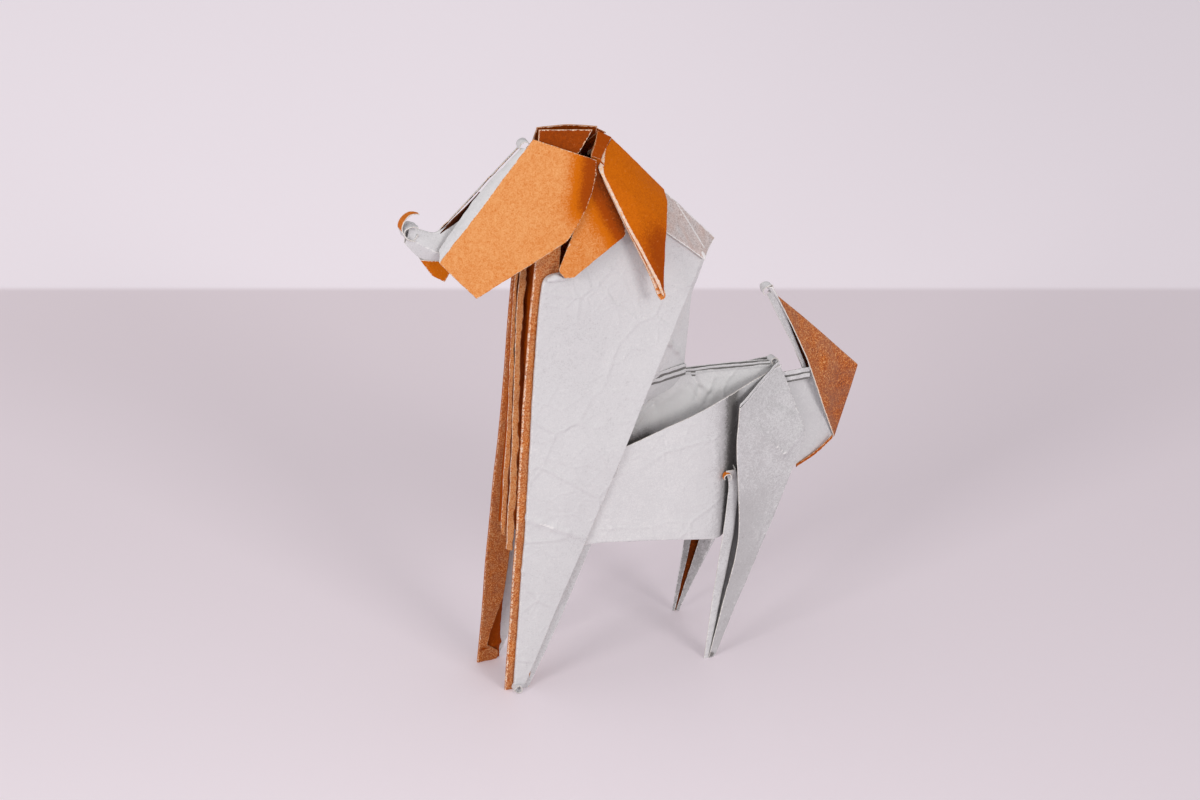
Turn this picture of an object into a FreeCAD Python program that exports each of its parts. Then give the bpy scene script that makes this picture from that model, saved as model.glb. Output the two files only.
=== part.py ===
import FreeCAD, Part
import math
import os
from FreeCAD import Vector

# Origami dog folded from one square of duo-coloured paper, in millimetres.
# The dog faces -X, its left side is -Y and +Z is up, with the ground at 0.
# Sizes are stations along the body (nose negative), widths across it and heights.
# Each run of the sheet is given by its fold lines and edges, called rails here.

# ---- sheet --------------------------------------------------------------------
paper = 0.15                # thickness of the sheet
fold_nose = 0.30            # closed fold, from the middle of one layer to the next
tuck = 0.40                 # length of the bent edge that slips into another layer
foot_trim = 0.3             # toes folded past the ground and trimmed level

# ---- forelegs, chest and neck ---------------------------------------------------
fore_toe_station = -18.05   # front ridge of the left foreleg at the ground
fore_track = 8.7            # across the pale panels at the ground
right_fore_step = 1.3       # the right front foot stands this much further forward
toe_width = 1.0             # pale panel, front to rear edge, at the ground
chest_top_drop = 12.0       # the pleated chest ends this far below the crown, in the head
chest_lean = 4.85           # the chest's top lies this far behind its foot
chest_top_width = 7.4       # across the pale panels at that height
stripe_width = 0.95         # brown stripe between front ridge and pale panel
stripe_under = 1.6          # stripe layer running on under the pale panel
stripe_depth = 0.55         # stripe layer inside the face of the pale panel
medial_chest_width = 2.2    # inner wall beside the pleats
medial_knee_width = 3.0     # inner wall of the leg below the chest
medial_toe_width = 1.4
medial_inset = 1.1          # rear edge of that wall towards the middle, at the chest
medial_toe_inset = 0.5
collar_drop = 16.7          # front upper corner of the pale panel below the crown
collar_cut = 3.2            # level lip at that corner
collar_corner = 1.2         # the corner is rounded off by this much
elbow_station = -3.1        # rear edge of the pale panel at the top of the flank
shoulder_width = 11.2       # across the pale panels there
shoulder_bulge = 0.35
lining_out = 1.5            # second layer showing behind the rear edge of the leg
lining_depth = 0.75         # and as far inside it
pleat_forward = 0.25        # pleat ridges ahead of the line of the front ridges
pleat_depth = 1.5           # valleys behind that line
pleat_sink = 2.35           # outer valleys, where the pleats meet the leg walls
left_pleat_end = 17.6       # height of the lower end of the left pleat
right_pleat_end = 18.7
crest_tip_station = 10.4    # rear point of the neck roof
crest_tip_drop = 17.2       # and how far it lies below the crown
withers_lead = 2.5          # rear corner of the pale panel ahead of that point
withers_drop = 0.8
withers_width = 5.2
roof_station = 2.7          # widest place of the roof
roof_drop = 13.4
roof_width = 6.3
roof_front_station = -4.9
roof_front_drop = 7.2
roof_front_width = 4.4
nape_set = 1.2              # nape ridge ahead of the crest tip
nape_lean = 1.7             # nape ridge slopes forward by this in its upper part
nape_tuck = 3.6             # turned-in part of the nape, below its lower edge
nape_reach = 4.6            # nape walls reach this far forward to the pale panels

# ---- trunk ----------------------------------------------------------------------
back_height = 38.0
back_station = 6.7          # the back ridge leaves the nape here
rump_station = 19.2
rump_fall = 1.0             # rear end of the back below its front end
rump_width = 1.8
flank_drop = 6.1            # free edge of the flank below the back, at the elbow
belly_height = 19.3         # belly fold at the forelegs
belly_fall = 2.7            # belly fold at the hind legs, below that
trunk_width = 10.2
bend_station = 10.1         # the flank turns inward here, into the leg trough
bend_length = 2.7
bend_inset = 2.2
hollow_drop = 1.2           # back ridge dips this much under the neck
hollow_station = 0.8

# ---- hind legs --------------------------------------------------------------------
hind_toe_station = 8.1      # front edge of the foot
hind_toe_width = 0.9
hind_track = 12.0
hip_station = 11.8          # front upper corner of the thigh
hip_drop = 2.4              # below the rump
thigh_width = 11.2          # across the thighs at the front edge
knee_station = 12.0
knee_height = 17.5
shin_height = 14.2
buttock_station = 21.9      # rearmost point of the thigh
buttock_height = 28.6
hock_station = 19.7
hock_height = 24.0
rear_fold_width = 7.6       # across the rear folds of the thighs
trough_height = 25.8        # top of the inner wall of the trough
trough_lead = 1.3           # inner wall ahead of the outer one, at its top
trough_gap = 0.75           # between the two walls at their front edges
trough_toe_lead = 0.55

# ---- tail -------------------------------------------------------------------------
tail_point_station = 17.7
tail_point_rise = 10.1      # upper point above the rump
tail_corner_station = 30.2
tail_corner_drop = 2.4      # rear corner below the rump
tail_low_station = 26.9
tail_low_drop = 11.6
tail_low_width = 2.0
tail_gape = 4.6             # between the free edges half way up
tail_gape_station = 21.6
tail_gape_rise = 0.8
dock_station = 20.2         # pale base of the tail where it leaves the rump
dock_depth = 12.0           # its height there
dock_drop = 2.2             # its upper edge below the rump
dock_width = 3.6
tail_curl = 0.55            # radius of the rolled upper point

# ---- head ---------------------------------------------------------------------------
crown_station = -11.7       # front end of the crown
crown_rear_station = -4.4
crown_height = 72.0
crown_fall = 1.0            # rear end of the crown below its front end
crown_gap = 0.8             # open slot between the two crown layers
crown_bow = 0.3             # the right crown layer rises by this in its middle
crown_slot = 0.9            # the left crown layer stops this far ahead of the crest
crown_hem = 2.2             # the crown layers go down behind the face by this
crown_pocket = 2.6          # bottom of the pocket between them, below that
poll_station = -2.9         # the crest runs straight from crown to crest tip; ear root
brow_lead = 0.8             # upper corner of the face ahead of the crown
brow_drop = 0.9
brow_width = 1.6
temple_station = -5.7       # rear upper corner of the face
temple_drop = 3.9
jowl_station = -9.8         # rear lower corner of the face
jowl_drop = 12.5
jowl_width = 8.4
jowl_bow = 0.95             # rear edge of the face bows out by this
lip_station = -20.8         # lower tip of the face
lip_drop = 17.9
muzzle_station = -24.5      # front lower corner of the face
muzzle_drop = 13.5
muzzle_width = 5.2
bridge_lead = 1.3           # upper end of the snout ridge ahead of the brow
bridge_drop = 1.9           # and below the crown
bridge_rise = 2.5           # lower end of the snout ridge above the muzzle corner
nose_station = -27.6        # front of the nose, without its curl
nose_width = 2.8
nose_depth = 3.4
nose_lift = 1.1             # front end of the nose above its root
nose_curl = 1.5             # radius of the curled tip
nose_curl_width = 0.9
chin_drop = 2.6             # lower tip of the chin below the muzzle corner
chin_width = 2.8
ear_rear_station = 3.8
ear_front_station = -5.5
ear_front_width = 4.6
ear_front_drop = 4.9        # front corner of the ear below the crown
ear_tip_station = 1.2
ear_tip_drop = 20.4
ear_spread = 12.8           # between the tips of the ears
ear_clear = 0.55            # ear outside the edge of the neck roof
ear_bow = 0.3               # the ear is this much fuller than flat
ear_rim = 0.55              # under layer showing ahead of the front edge of the ear
cheek_station = -10.3       # lowest tip of the cheek flap
cheek_drop = 16.8
cheek_width = 9.4
cheek_rear_station = -2.5   # rear corner of the cheek flap, under the ear
cheek_rear_drop = 12.8
cheek_top_station = -5.6    # front edge of the cheek flap where it leaves the temple
cheek_top_drop = 5.9

# ---- derived ----------------------------------------------------------------------------
chest_top_height = crown_height - chest_top_drop
collar_height = crown_height - collar_drop
crest_tip_height = crown_height - crest_tip_drop
roof_height = crown_height - roof_drop
roof_front_height = crown_height - roof_front_drop
rump_height = back_height - rump_fall
flank_height = back_height - flank_drop
ear_tip_height = crown_height - ear_tip_drop
LEFT = -1
RIGHT = 1


# ---- points and sheets --------------------------------------------------------------------


def at(station, width, height, side=LEFT):
    """Point on one half of the dog, given the full width across both halves."""
    return Vector(station, side * width / 2.0, height)


def between(a, b, share):
    """What lies the given share of the way from a to b."""
    return a + (b - a) * share


def inward(distance, side):
    """Step from one half of the dog towards its middle plane."""
    return Vector(0, -side * distance, 0)


def facets(rails):
    """Index triples of the flat facets between neighbouring rails."""
    stations = len(rails[0])
    triples = []
    for r in range(len(rails) - 1):
        for s in range(stations - 1):
            a = r * stations + s
            b = a + 1
            c = a + stations
            d = c + 1
            triples.append((a, b, d))
            triples.append((a, d, c))
    return triples


def corner_offsets(points, triples):
    """Mitred offset of every corner for a unit distance from its facets."""
    around = [[] for _ in points]
    for triple in triples:
        a, b, c = [points[i] for i in triple]
        normal = (b - a).cross(c - a)
        normal.normalize()
        for i in triple:
            around[i].append(normal)
    offsets = []
    for normals in around:
        mean = Vector(0, 0, 0)
        for normal in normals:
            mean += normal
        mean.normalize()
        closest = min(mean.dot(normal) for normal in normals)
        offsets.append(mean * (1.0 / max(closest, 0.6)))
    return offsets


def outline_pairs(rails):
    """Index pairs round the rim of a run, in order."""
    stations = len(rails[0])
    rows = len(rails)
    ring = [s for s in range(stations)]
    ring += [r * stations + stations - 1 for r in range(1, rows)]
    ring += [(rows - 1) * stations + s for s in reversed(range(stations - 1))]
    ring += [r * stations for r in reversed(range(1, rows - 1))]
    return list(zip(ring, ring[1:] + ring[:1]))


def folded(rails, thickness=paper):
    """Solid sheet of even thickness whose fold lines and edges are the rails."""
    points = [p for rail in rails for p in rail]
    triples = facets(rails)
    offsets = corner_offsets(points, triples)
    half = thickness / 2.0
    upper = [p + o * half for p, o in zip(points, offsets)]
    lower = [p - o * half for p, o in zip(points, offsets)]
    count = len(points)
    skin = list(triples)
    skin += [(a + count, c + count, b + count) for a, b, c in triples]
    for a, b in outline_pairs(rails):
        skin.append((a, a + count, b + count))
        skin.append((a, b + count, b))
    shape = Part.Shape()
    shape.makeShapeFromMesh((upper + lower, skin), 1e-5)
    return Part.Solid(Part.Shell(shape.Faces))


def flat(outline, thickness=paper):
    """Solid flat flap of even thickness about a plane outline."""
    normal = (outline[1] - outline[0]).cross(outline[2] - outline[0])
    normal.normalize()
    lift = normal * (thickness / 2.0)
    base = Part.Face(Part.makePolygon([p - lift for p in outline + outline[:1]]))
    return base.extrude(lift * 2)


# ---- forelegs, chest and neck ----------------------------------------------------------------


def crest(station):
    """Point of the crest line, straight from the crown to the crest tip."""
    front = Vector(crown_rear_station, 0, crown_height - crown_fall)
    rear = Vector(crest_tip_station, 0, crest_tip_height)
    return between(front, rear, (station - front.x) / (rear.x - front.x))


def pale_front(height, side):
    """Front edge of the pale panel."""
    rise = height / chest_top_height
    step = right_fore_step if side == RIGHT else 0.0
    station = fore_toe_station + stripe_width + chest_lean * rise - step * (1 - rise)
    return at(station, between(fore_track, chest_top_width, rise), height, side)


def withers(side):
    """Rear upper corner of the pale panel."""
    return at(crest_tip_station - withers_lead, withers_width,
              crest_tip_height - withers_drop, side)


def pale_rear(height, side):
    """Rear edge of the pale panel, from withers over elbow to heel."""
    top = withers(side)
    elbow = at(elbow_station, shoulder_width, flank_height, side)
    heel = pale_front(0, side) + Vector(toe_width, 0, 0)
    if height > elbow.z:
        return between(elbow, top, (height - elbow.z) / (top.z - elbow.z))
    return between(heel, elbow, height / elbow.z)


def under_panel(height, distance, depth, side):
    """Point a distance behind the front edge and a depth inside the pale panel."""
    front = pale_front(height, side)
    along = pale_rear(height, side) - front
    along.normalize()
    return front + along * distance + inward(depth, side)


def leg_levels():
    """Heights of the stations down the leg, shared by its layers."""
    return [flank_height, belly_height, belly_height / 2, -foot_trim]


def outer_panel(side):
    """Pale neck, shoulder and leg panel with its half of the neck roof."""
    front = [crest(roof_front_station + 1.2),
             at(roof_front_station, roof_front_width, roof_front_height, side),
             under_panel(collar_height, collar_cut, 0, side)]
    for turn in (0, 30, 60, 90):
        back = collar_corner * (1 - math.sin(math.radians(turn)))
        fall = collar_corner * (1 - math.cos(math.radians(turn)))
        front.append(under_panel(collar_height - fall, back, 0, side))
    middle = [crest(ear_rear_station + 1.2),
              at(roof_station, roof_width, roof_height, side)]
    rear = [crest(crest_tip_station), withers(side)]
    for share in (0.14, 0.23, 0.32, 0.41, 0.55):
        level = between(withers(side).z, flank_height, share)
        middle.append(between(pale_front(level, side), pale_rear(level, side), 0.5))
        rear.append(pale_rear(level, side))
    for level in leg_levels():
        front.append(pale_front(level, side))
        rear.append(pale_rear(level, side))
        bulge = shoulder_bulge * max(level, 0) / flank_height
        middle.append(between(front[-1], rear[-1], 0.5) - inward(bulge, side))
    hem = [p + inward(fold_nose, side) for p in front]
    return [hem, front, middle, rear]


def lining(side):
    """Second pale layer, folded back from the front edge, out behind the rear one."""
    outs = (0.1, lining_out, lining_out, toe_width * 0.9)
    depths = (fold_nose, lining_depth, lining_depth * 0.7, fold_nose)
    front = []
    rear = []
    for level, out, depth in zip(leg_levels(), outs, depths):
        front.append(pale_front(level, side) + inward(fold_nose - 0.04, side))
        rear.append(pale_rear(level, side) + Vector(out, 0, 0) + inward(depth, side))
    return [front, rear]


def front_wrap(side):
    """Brown layer round the front of chest and leg: stripe, ridge and inner wall."""
    low = right_pleat_end if side == RIGHT else left_pleat_end
    middle = (chest_top_height + flank_height) / 2
    levels = (chest_top_height, middle, flank_height, low + 0.6, low / 2, -foot_trim)
    widths = (medial_chest_width, medial_chest_width, medial_chest_width,
              medial_knee_width, between(medial_knee_width, medial_toe_width, 0.3),
              medial_toe_width)
    insets = (medial_inset, medial_inset, medial_inset, medial_inset * 0.75,
              medial_toe_inset, medial_toe_inset)
    tucked = []
    hidden = []
    outer = []
    inner = []
    medial = []
    for level, width, inset in zip(levels, widths, insets):
        ridge = under_panel(level, -stripe_width, stripe_depth, side)
        tucked.append(under_panel(level, stripe_under + tuck, fold_nose + 0.02, side))
        hidden.append(under_panel(level, stripe_under, stripe_depth, side))
        outer.append(ridge)
        inner.append(ridge + inward(fold_nose, side))
        medial.append(ridge + Vector(width, 0, 0) + inward(inset, side))
    return [tucked, hidden, outer, inner, medial]


def chest_pleats():
    """Accordion between the front ridges: valley, ridge, valley, ridge, valley."""
    shares = (0.16, 0.38, 0.53, 0.67, 0.84)
    insets = (pleat_sink, -pleat_forward, pleat_depth, -pleat_forward, pleat_sink)
    ends = (left_pleat_end, left_pleat_end, between(left_pleat_end, right_pleat_end, 0.5),
            right_pleat_end, right_pleat_end)
    rails = []
    for share, inset, end in zip(shares, insets, ends):
        rail = []
        for height in (chest_top_height, (chest_top_height + flank_height) / 2,
                       flank_height, end):
            left = under_panel(height, -stripe_width, stripe_depth, LEFT)
            right = under_panel(height, -stripe_width, stripe_depth, RIGHT)
            rail.append(between(left, right, share) + Vector(inset, 0, 0))
        rails.append(rail)
    return rails


def nape():
    """Inner layer of the neck with the nape ridge, down to the back."""
    top = crest_tip_height - 2.2
    levels = (top, between(top, back_height - 0.7, 0.3), back_height - 0.7,
              back_height - 1.7)
    stations = (crest_tip_station - nape_set, crest_tip_station - nape_set - nape_lean,
                back_station - 0.1, back_station - 1.0)
    lifts = (0.0, 0.0, 2.4, 1.0 - nape_tuck)
    rails = [[], [], [], []]
    for level, station, lift in zip(levels, stations, lifts):
        for side, wall, ridge in ((LEFT, 0, 1), (RIGHT, 3, 2)):
            edge = pale_rear(level + lift, side)
            front = pale_front(level + lift, side)
            reach = between(edge, front, nape_reach / (edge.x - front.x))
            depth = 0.12 if level > back_height - 1.0 else 0.9
            rails[wall].append(reach + inward(depth, side))
            rails[ridge].append(at(station, fold_nose, level, side))
    return rails


# ---- trunk, hind legs and tail ------------------------------------------------------------------


def trunk():
    """Flanks, belly folds, inner walls and back ridge as one folded run."""
    rails = []
    low = belly_height - belly_fall
    for side in (LEFT, RIGHT):
        rump = at(rump_station, rump_width, rump_height - 0.1, side)
        elbow = at(elbow_station, trunk_width, flank_height, side)
        bend = at(bend_station + 0.6, trunk_width - 1.5,
                  between(flank_height, rump_height, 0.72), side)
        edge = [at(elbow_station - 6.2, trunk_width - 1.0, flank_height - 3.0, side), elbow,
                at(back_station - 0.5, trunk_width - 0.7,
                   between(flank_height, rump_height, 0.47), side), bend, rump]
        belly = [at(elbow_station - 7.4, trunk_width - 1.5, belly_height, side),
                 at(elbow_station - 2.9, trunk_width - 0.5, belly_height - 0.1, side),
                 at(elbow_station + 5.1, trunk_width, belly_height - belly_fall / 2, side),
                 at(bend_station, trunk_width - 0.2, low, side),
                 at(bend_station + bend_length, trunk_width - 2 * bend_inset, low - 0.1, side)]
        nose = [p + inward(fold_nose, side) for p in belly]
        ridge = [at(elbow_station, fold_nose, back_height - 2 * hollow_drop, side),
                 at(hollow_station, fold_nose, back_height - hollow_drop, side),
                 at(back_station, fold_nose, back_height, side),
                 at((back_station + rump_station) / 2, fold_nose,
                    (back_height + rump_height) / 2 - 0.15, side),
                 at(rump_station, fold_nose, rump_height, side)]
        run = [edge, belly, nose, ridge]
        rails += run if side == LEFT else run[::-1]
    return rails


def hind_leg(side):
    """Thigh and shank: outer panel, rear fold and inner wall of the trough."""
    front = [at(hip_station, thigh_width - 0.8, rump_height - hip_drop, side),
             at(hip_station - 0.4, thigh_width, rump_height - hip_drop - 5.0, side),
             at(knee_station - 0.1, thigh_width + 0.6, knee_height + 4.5, side),
             at(knee_station, thigh_width + 0.8, knee_height, side),
             at(knee_station - 0.45, thigh_width + 0.9, shin_height, side),
             at(hind_toe_station, hind_track, -foot_trim, side)]
    fold = [at(rump_station - 0.3, rump_width - 0.4, rump_height + 0.15, side),
            at(buttock_station, rear_fold_width - 0.4, buttock_height, side),
            at(hock_station, rear_fold_width + 0.8, hock_height, side),
            at(hock_station - 2.9, rear_fold_width + 2.6, knee_height, side),
            at(hock_station - 4.7, rear_fold_width + 3.4, shin_height, side),
            at(hind_toe_station + hind_toe_width, hind_track - 0.2, -foot_trim, side)]
    inner_fold = [p + inward(fold_nose, side) for p in fold]
    wall_width = thigh_width - 2 * trough_gap
    wall_station = hip_station - trough_lead
    wall = [at(rump_station - 1.6, rump_width - 1.2, rump_height - 2.6, side),
            at(wall_station, wall_width - 0.1, trough_height, side),
            at(wall_station + 0.5, wall_width, trough_height - 2.0, side),
            at(wall_station - 0.2, wall_width + 0.4, knee_height, side),
            at(wall_station - 0.8, wall_width + 0.8, shin_height, side),
            at(hind_toe_station - trough_toe_lead, hind_track - 0.3, -foot_trim, side)]
    return [front, fold, inner_fold, wall]


def tail():
    """Tail folded outside itself: two flaps on a ridge, and the base inside them."""
    corner_height = rump_height - tail_corner_drop
    low_height = rump_height - tail_low_drop
    point_height = rump_height + tail_point_rise
    top_height = rump_height - dock_drop
    rows = []
    for side in (LEFT, RIGHT):
        point = at(tail_point_station, fold_nose, point_height, side)
        corner = at(tail_corner_station, fold_nose, corner_height, side)
        low = at(tail_low_station, tail_low_width, low_height, side)
        gape = at(tail_gape_station, tail_gape, rump_height + tail_gape_rise, side)
        ridge = [point, between(point, corner, 0.35), between(point, corner, 0.7), corner]
        edge = [at(tail_point_station + 0.7, 4 * fold_nose, point_height, side), gape,
                between(gape, low, 0.55) - inward(0.2, side), low]
        back = Vector(-fold_nose, 0, 0.0)
        ridge += [corner + back, at(tail_low_station - 2.4, fold_nose, top_height + 0.2, side),
                  at(dock_station - 2.8, dock_width / 2, top_height - 0.3, side)]
        edge += [low + back + inward(fold_nose, side),
                 at(tail_low_station - 2.9, dock_width, low_height - 1.4, side),
                 at(dock_station - 0.6, dock_width + 0.6, top_height - dock_depth, side)]
        rows.append((edge, ridge) if side == LEFT else (ridge, edge))
    return [rows[0][0], rows[0][1], rows[1][0], rows[1][1]]


def tail_roll():
    """Rolled upper point of the tail, a short turn of the sheet."""
    centre = Vector(tail_point_station, 0, rump_height + tail_point_rise + 0.1)
    return rolled(centre, tail_curl, 0.7, -60, 210, 8, 0.02)


def rolled(centre, radius, width, first, last, steps, fade):
    """Strip of sheet rolled about an axis across the dog, from one angle to another."""
    rails = []
    for across in (-0.5, 0.0, 0.5):
        rail = []
        for k in range(steps + 1):
            turn = math.radians(between(first, last, k / steps))
            narrow = 1.0 - fade * k
            rail.append(centre + Vector(radius * math.cos(turn), across * width * narrow,
                                        radius * math.sin(turn)))
        rails.append(rail)
    return rails


# ---- head ------------------------------------------------------------------------------------------


def on_face(station, drop, side, depth=0.0):
    """Point of the flat face panel, which flares downward, or inside it by a depth."""
    brow = (crown_station - brow_lead, brow_width / 2, brow_drop)
    muzzle = (muzzle_station, muzzle_width / 2, muzzle_drop)
    jowl = (jowl_station, jowl_width / 2, jowl_drop)
    a1, b1, c1 = [m - b for m, b in zip(muzzle, brow)]
    a2, b2, c2 = [j - b for j, b in zip(jowl, brow)]
    turn = a1 * c2 - a2 * c1
    forward = (b1 * c2 - b2 * c1) / turn
    downward = (a1 * b2 - a2 * b1) / turn
    half = brow[1] + forward * (station - brow[0]) + downward * (drop - brow[2])
    return at(station, 2 * (half - depth), crown_height - drop, side)


def face_outline(side):
    """Bright outer panel of the head from brow to lip, with a bowed rear edge."""
    back = brow_lead if side == RIGHT else 0.0
    outline = [on_face(crown_station - brow_lead + back, brow_drop + back, side),
               on_face(muzzle_station, muzzle_drop, side),
               on_face(lip_station, lip_drop, side)]
    for k in range(6):
        share = k / 5.0
        bow = jowl_bow * math.sin(math.pi * share)
        outline.append(on_face(between(jowl_station, temple_station, share) + bow,
                               between(jowl_drop, temple_drop, share), side))
    return outline


def bridge_top(share):
    """Point of the snout ridge, from brow to muzzle."""
    upper = Vector(crown_station - brow_lead - bridge_lead, 0, crown_height - bridge_drop)
    lower = Vector(muzzle_station + 0.6, 0, crown_height - muzzle_drop + bridge_rise)
    return between(upper, lower, share)


def bridge():
    """Pale strip over the snout: two slopes that meet at its ridge."""
    shares = (0.0, 0.5, 1.0)
    rails = []
    for side in (LEFT, RIGHT):
        upper = on_face(crown_station - brow_lead - 0.7, brow_drop + 0.8, side)
        lower = on_face(muzzle_station, muzzle_drop, side)
        edge = [between(upper, lower, share) for share in shares]
        top = [bridge_top(share) - inward(0.5 * fold_nose, side) for share in shares]
        rails += [edge, top] if side == LEFT else [top, edge]
    return rails


def crown():
    """Pocket along the top of the head: two upright layers that meet in its bottom."""
    rails = []
    for side in (LEFT, RIGHT):
        rear = crown_rear_station - (crown_slot if side == LEFT else 0.0)
        low_rear = rear - 2.1 if side == LEFT else rear + 0.3
        middle = (crown_station + rear) / 2
        bow = 0.0 if side == LEFT else crown_bow
        top = [at(crown_station, crown_gap, crown_height, side),
               at(middle, crown_gap, crown_height - crown_fall / 2 + bow, side),
               at(rear, crown_gap, crown_height - crown_fall, side)]
        stations = (crown_station - 0.6, (crown_station + low_rear) / 2, low_rear)
        low = []
        bottom = []
        for share, station in zip((0.0, 0.5, 1.0), stations):
            drop = brow_drop + crown_hem + share * (temple_drop - brow_drop)
            low.append(on_face(station, drop, side, 0.05))
            bottom.append(at(station + 0.3, fold_nose,
                             crown_height - drop - crown_pocket, side))
        run = [top, low, bottom]
        rails += run if side == LEFT else run[::-1]
    return rails


def cheek(side):
    """Flap that hangs from the crest, passes behind the face and shows below it."""
    top_height = crown_height - crown_fall
    crest_rear = crest(poll_station)
    tip = at(cheek_station, cheek_width, crown_height - cheek_drop, side)
    corner = at(cheek_rear_station, cheek_width - 1.0, crown_height - cheek_rear_drop, side)
    temple = at(cheek_top_station, 4.6, crown_height - cheek_top_drop, side)
    fore = tip + Vector(-0.8, 0, 0.9) + inward(0.15, side)
    front = [at(crown_rear_station, 0.0, top_height, side),
             at(crown_rear_station - 1.7, 3.2, top_height - 2.6, side),
             temple, between(temple, fore, 0.45) + inward(0.1, side), fore, tip]
    rear = [at(poll_station, 0.0, crest_rear.z, side),
            at(poll_station - 2.1, 3.5, crest_rear.z - 1.3, side),
            at(poll_station - 0.7, 4.9, top_height - 5.6, side),
            between(at(poll_station - 0.7, 4.9, top_height - 5.6, side), corner, 0.5),
            corner, tip + Vector(1.1, 0, -0.1)]
    return [front, rear]


def ear_rails(side):
    """Front edge, middle and rear edge of an ear, from the crest to its tip."""
    lift = Vector(0, 0, 0.12)
    root = crest(poll_station) - inward(0.1, side) + lift
    corner = at(ear_front_station, ear_front_width, crown_height - ear_front_drop, side)
    tip = at(ear_tip_station, ear_spread, ear_tip_height, side)
    heel = crest(ear_rear_station) - inward(0.1, side) + lift
    knee = at(roof_station - 0.1, roof_width + 2 * ear_clear, roof_height + 1.0, side)
    front = [root, between(root, corner, 0.8) + Vector(0.35, 0, 0)]
    rear = [heel, between(heel, knee, 0.45) + Vector(0.25, 0, 0.3)]
    for share in (0.0, 0.3, 0.6, 0.85, 0.98):
        bow = ear_bow * math.sin(math.pi * share)
        front.append(between(corner, tip, share) - inward(bow / 2, side))
        rear.append(between(knee, tip, share) - inward(bow, side) - Vector(bow, 0, 0))
    rear[-1] = tip
    middle = []
    for a, b in zip(front, rear):
        full = min(1.0, (b - a).Length / 5.0)
        middle.append(between(a, b, 0.5) - inward(1.6 * ear_bow * full, side))
    middle[0] = between(root, heel, 0.55)
    return [front, middle, rear]


def ear(side):
    """Hanging outer layer of an ear, set back from the rim of the under layer."""
    front, middle, rear = ear_rails(side)
    back = [p + Vector(ear_rim, 0, 0) for p in front[2:-1]]
    return [front[:2] + back + front[-1:], middle, rear]


def ear_lining(side):
    """Under layer of an ear, showing as a rim ahead of the front edge."""
    front, middle, rear = ear_rails(side)
    rim = []
    seam = []
    tucked = []
    for share, a, b in zip((0.5, 0.45, 0.4, 0.35), front[2:], middle[2:]):
        inside = between(a, b, share)
        rim.append(a + inward(0.3, side))
        seam.append(inside + inward(0.35, side))
        tucked.append(inside - inward(0.02, side))
    return [rim, seam, tucked]


def nose():
    """Pale boat-shaped tongue that leaves the muzzle under the snout ridge."""
    top_height = crown_height - muzzle_drop + bridge_rise
    rails = []
    for side in (LEFT, RIGHT):
        root = bridge_top(0.7) - inward(0.4 * fold_nose, side)
        top = [root, at(muzzle_station + 0.2, fold_nose, top_height, side),
               at(nose_station + 1.3, fold_nose, top_height + nose_lift - 0.2, side),
               at(nose_station + 0.3, fold_nose, top_height + nose_lift, side)]
        crease = [at(muzzle_station + 2.0, nose_width + 0.6, top_height - 1.8, side),
                  at(muzzle_station + 0.5, nose_width, top_height - 2.0, side),
                  at(nose_station + 1.4, 1.8, top_height - 0.7, side),
                  at(nose_station, 0.9, top_height + 0.4, side)]
        keel = [at(muzzle_station + 0.9, 1.0, top_height - nose_depth, side),
                at(muzzle_station - 0.1, 0.8, top_height - nose_depth - 0.1, side),
                at(nose_station + 1.2, 0.5, top_height - 2.4, side),
                at(nose_station - 0.2, 0.3, top_height - 0.6, side)]
        run = [keel, crease, top]
        rails += run if side == LEFT else run[::-1]
    return rails


def nose_tip():
    """Strip that curls up and back from the front of the nose."""
    centre = Vector(nose_station + 0.8, 0, crown_height - muzzle_drop + bridge_rise + 1.4)
    return rolled(centre, nose_curl, nose_curl_width, 262, 50, 9, 0.08)


def chin():
    """Lower jaw below the nose."""
    base = crown_height - muzzle_drop
    rails = []
    for side in (LEFT, RIGHT):
        upper = [at(nose_station + 1.5, 0.8, base - 0.3, side),
                 at(muzzle_station + 0.3, 1.6, base - 0.5, side),
                 at(muzzle_station + 1.9, chin_width, base - 1.4, side)]
        lower = [at(nose_station + 1.9, 0.3, base - 0.9, side),
                 at(muzzle_station - 0.1, 0.3, base - chin_drop, side),
                 at(muzzle_station + 1.3, 0.6, base - chin_drop - 0.9, side)]
        rails += [upper, lower] if side == LEFT else [lower, upper]
    return rails


# ---- whole sheet ---------------------------------------------------------------------------------------


def runs():
    """Every folded run of the sheet by name."""
    found = {"trunk": trunk(), "pleats": chest_pleats(), "nape": nape(), "tail": tail(),
             "tail roll": tail_roll(), "crown": crown(), "bridge": bridge(), "nose": nose(),
             "nose tip": nose_tip(), "chin": chin()}
    for name, side in (("left", LEFT), ("right", RIGHT)):
        found["outer panel " + name] = outer_panel(side)
        found["lining " + name] = lining(side)
        found["front wrap " + name] = front_wrap(side)
        found["hind leg " + name] = hind_leg(side)
        found["cheek " + name] = cheek(side)
        found["ear " + name] = ear(side)
        found["ear lining " + name] = ear_lining(side)
    return found


def folded_sheet():
    """The whole folded sheet as one solid, trimmed level under the feet.

    Its origin is then moved to the middle of the footprint of its box.
    """
    solids = [folded(rails) for rails in runs().values()]
    solids += [flat(face_outline(side)) for side in (LEFT, RIGHT)]
    sheet = solids[0]
    for solid in solids[1:]:
        sheet = sheet.fuse(solid)
    box = sheet.BoundBox
    ground = Part.makeBox(box.XLength + 20, box.YLength + 20, 10,
                          Vector(box.XMin - 10, box.YMin - 10, -10))
    sheet = sheet.cut(ground).removeSplitter().Solids[0]
    sheet.translate(Vector(-sheet.BoundBox.Center.x, -sheet.BoundBox.Center.y, 0))
    return sheet


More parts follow.
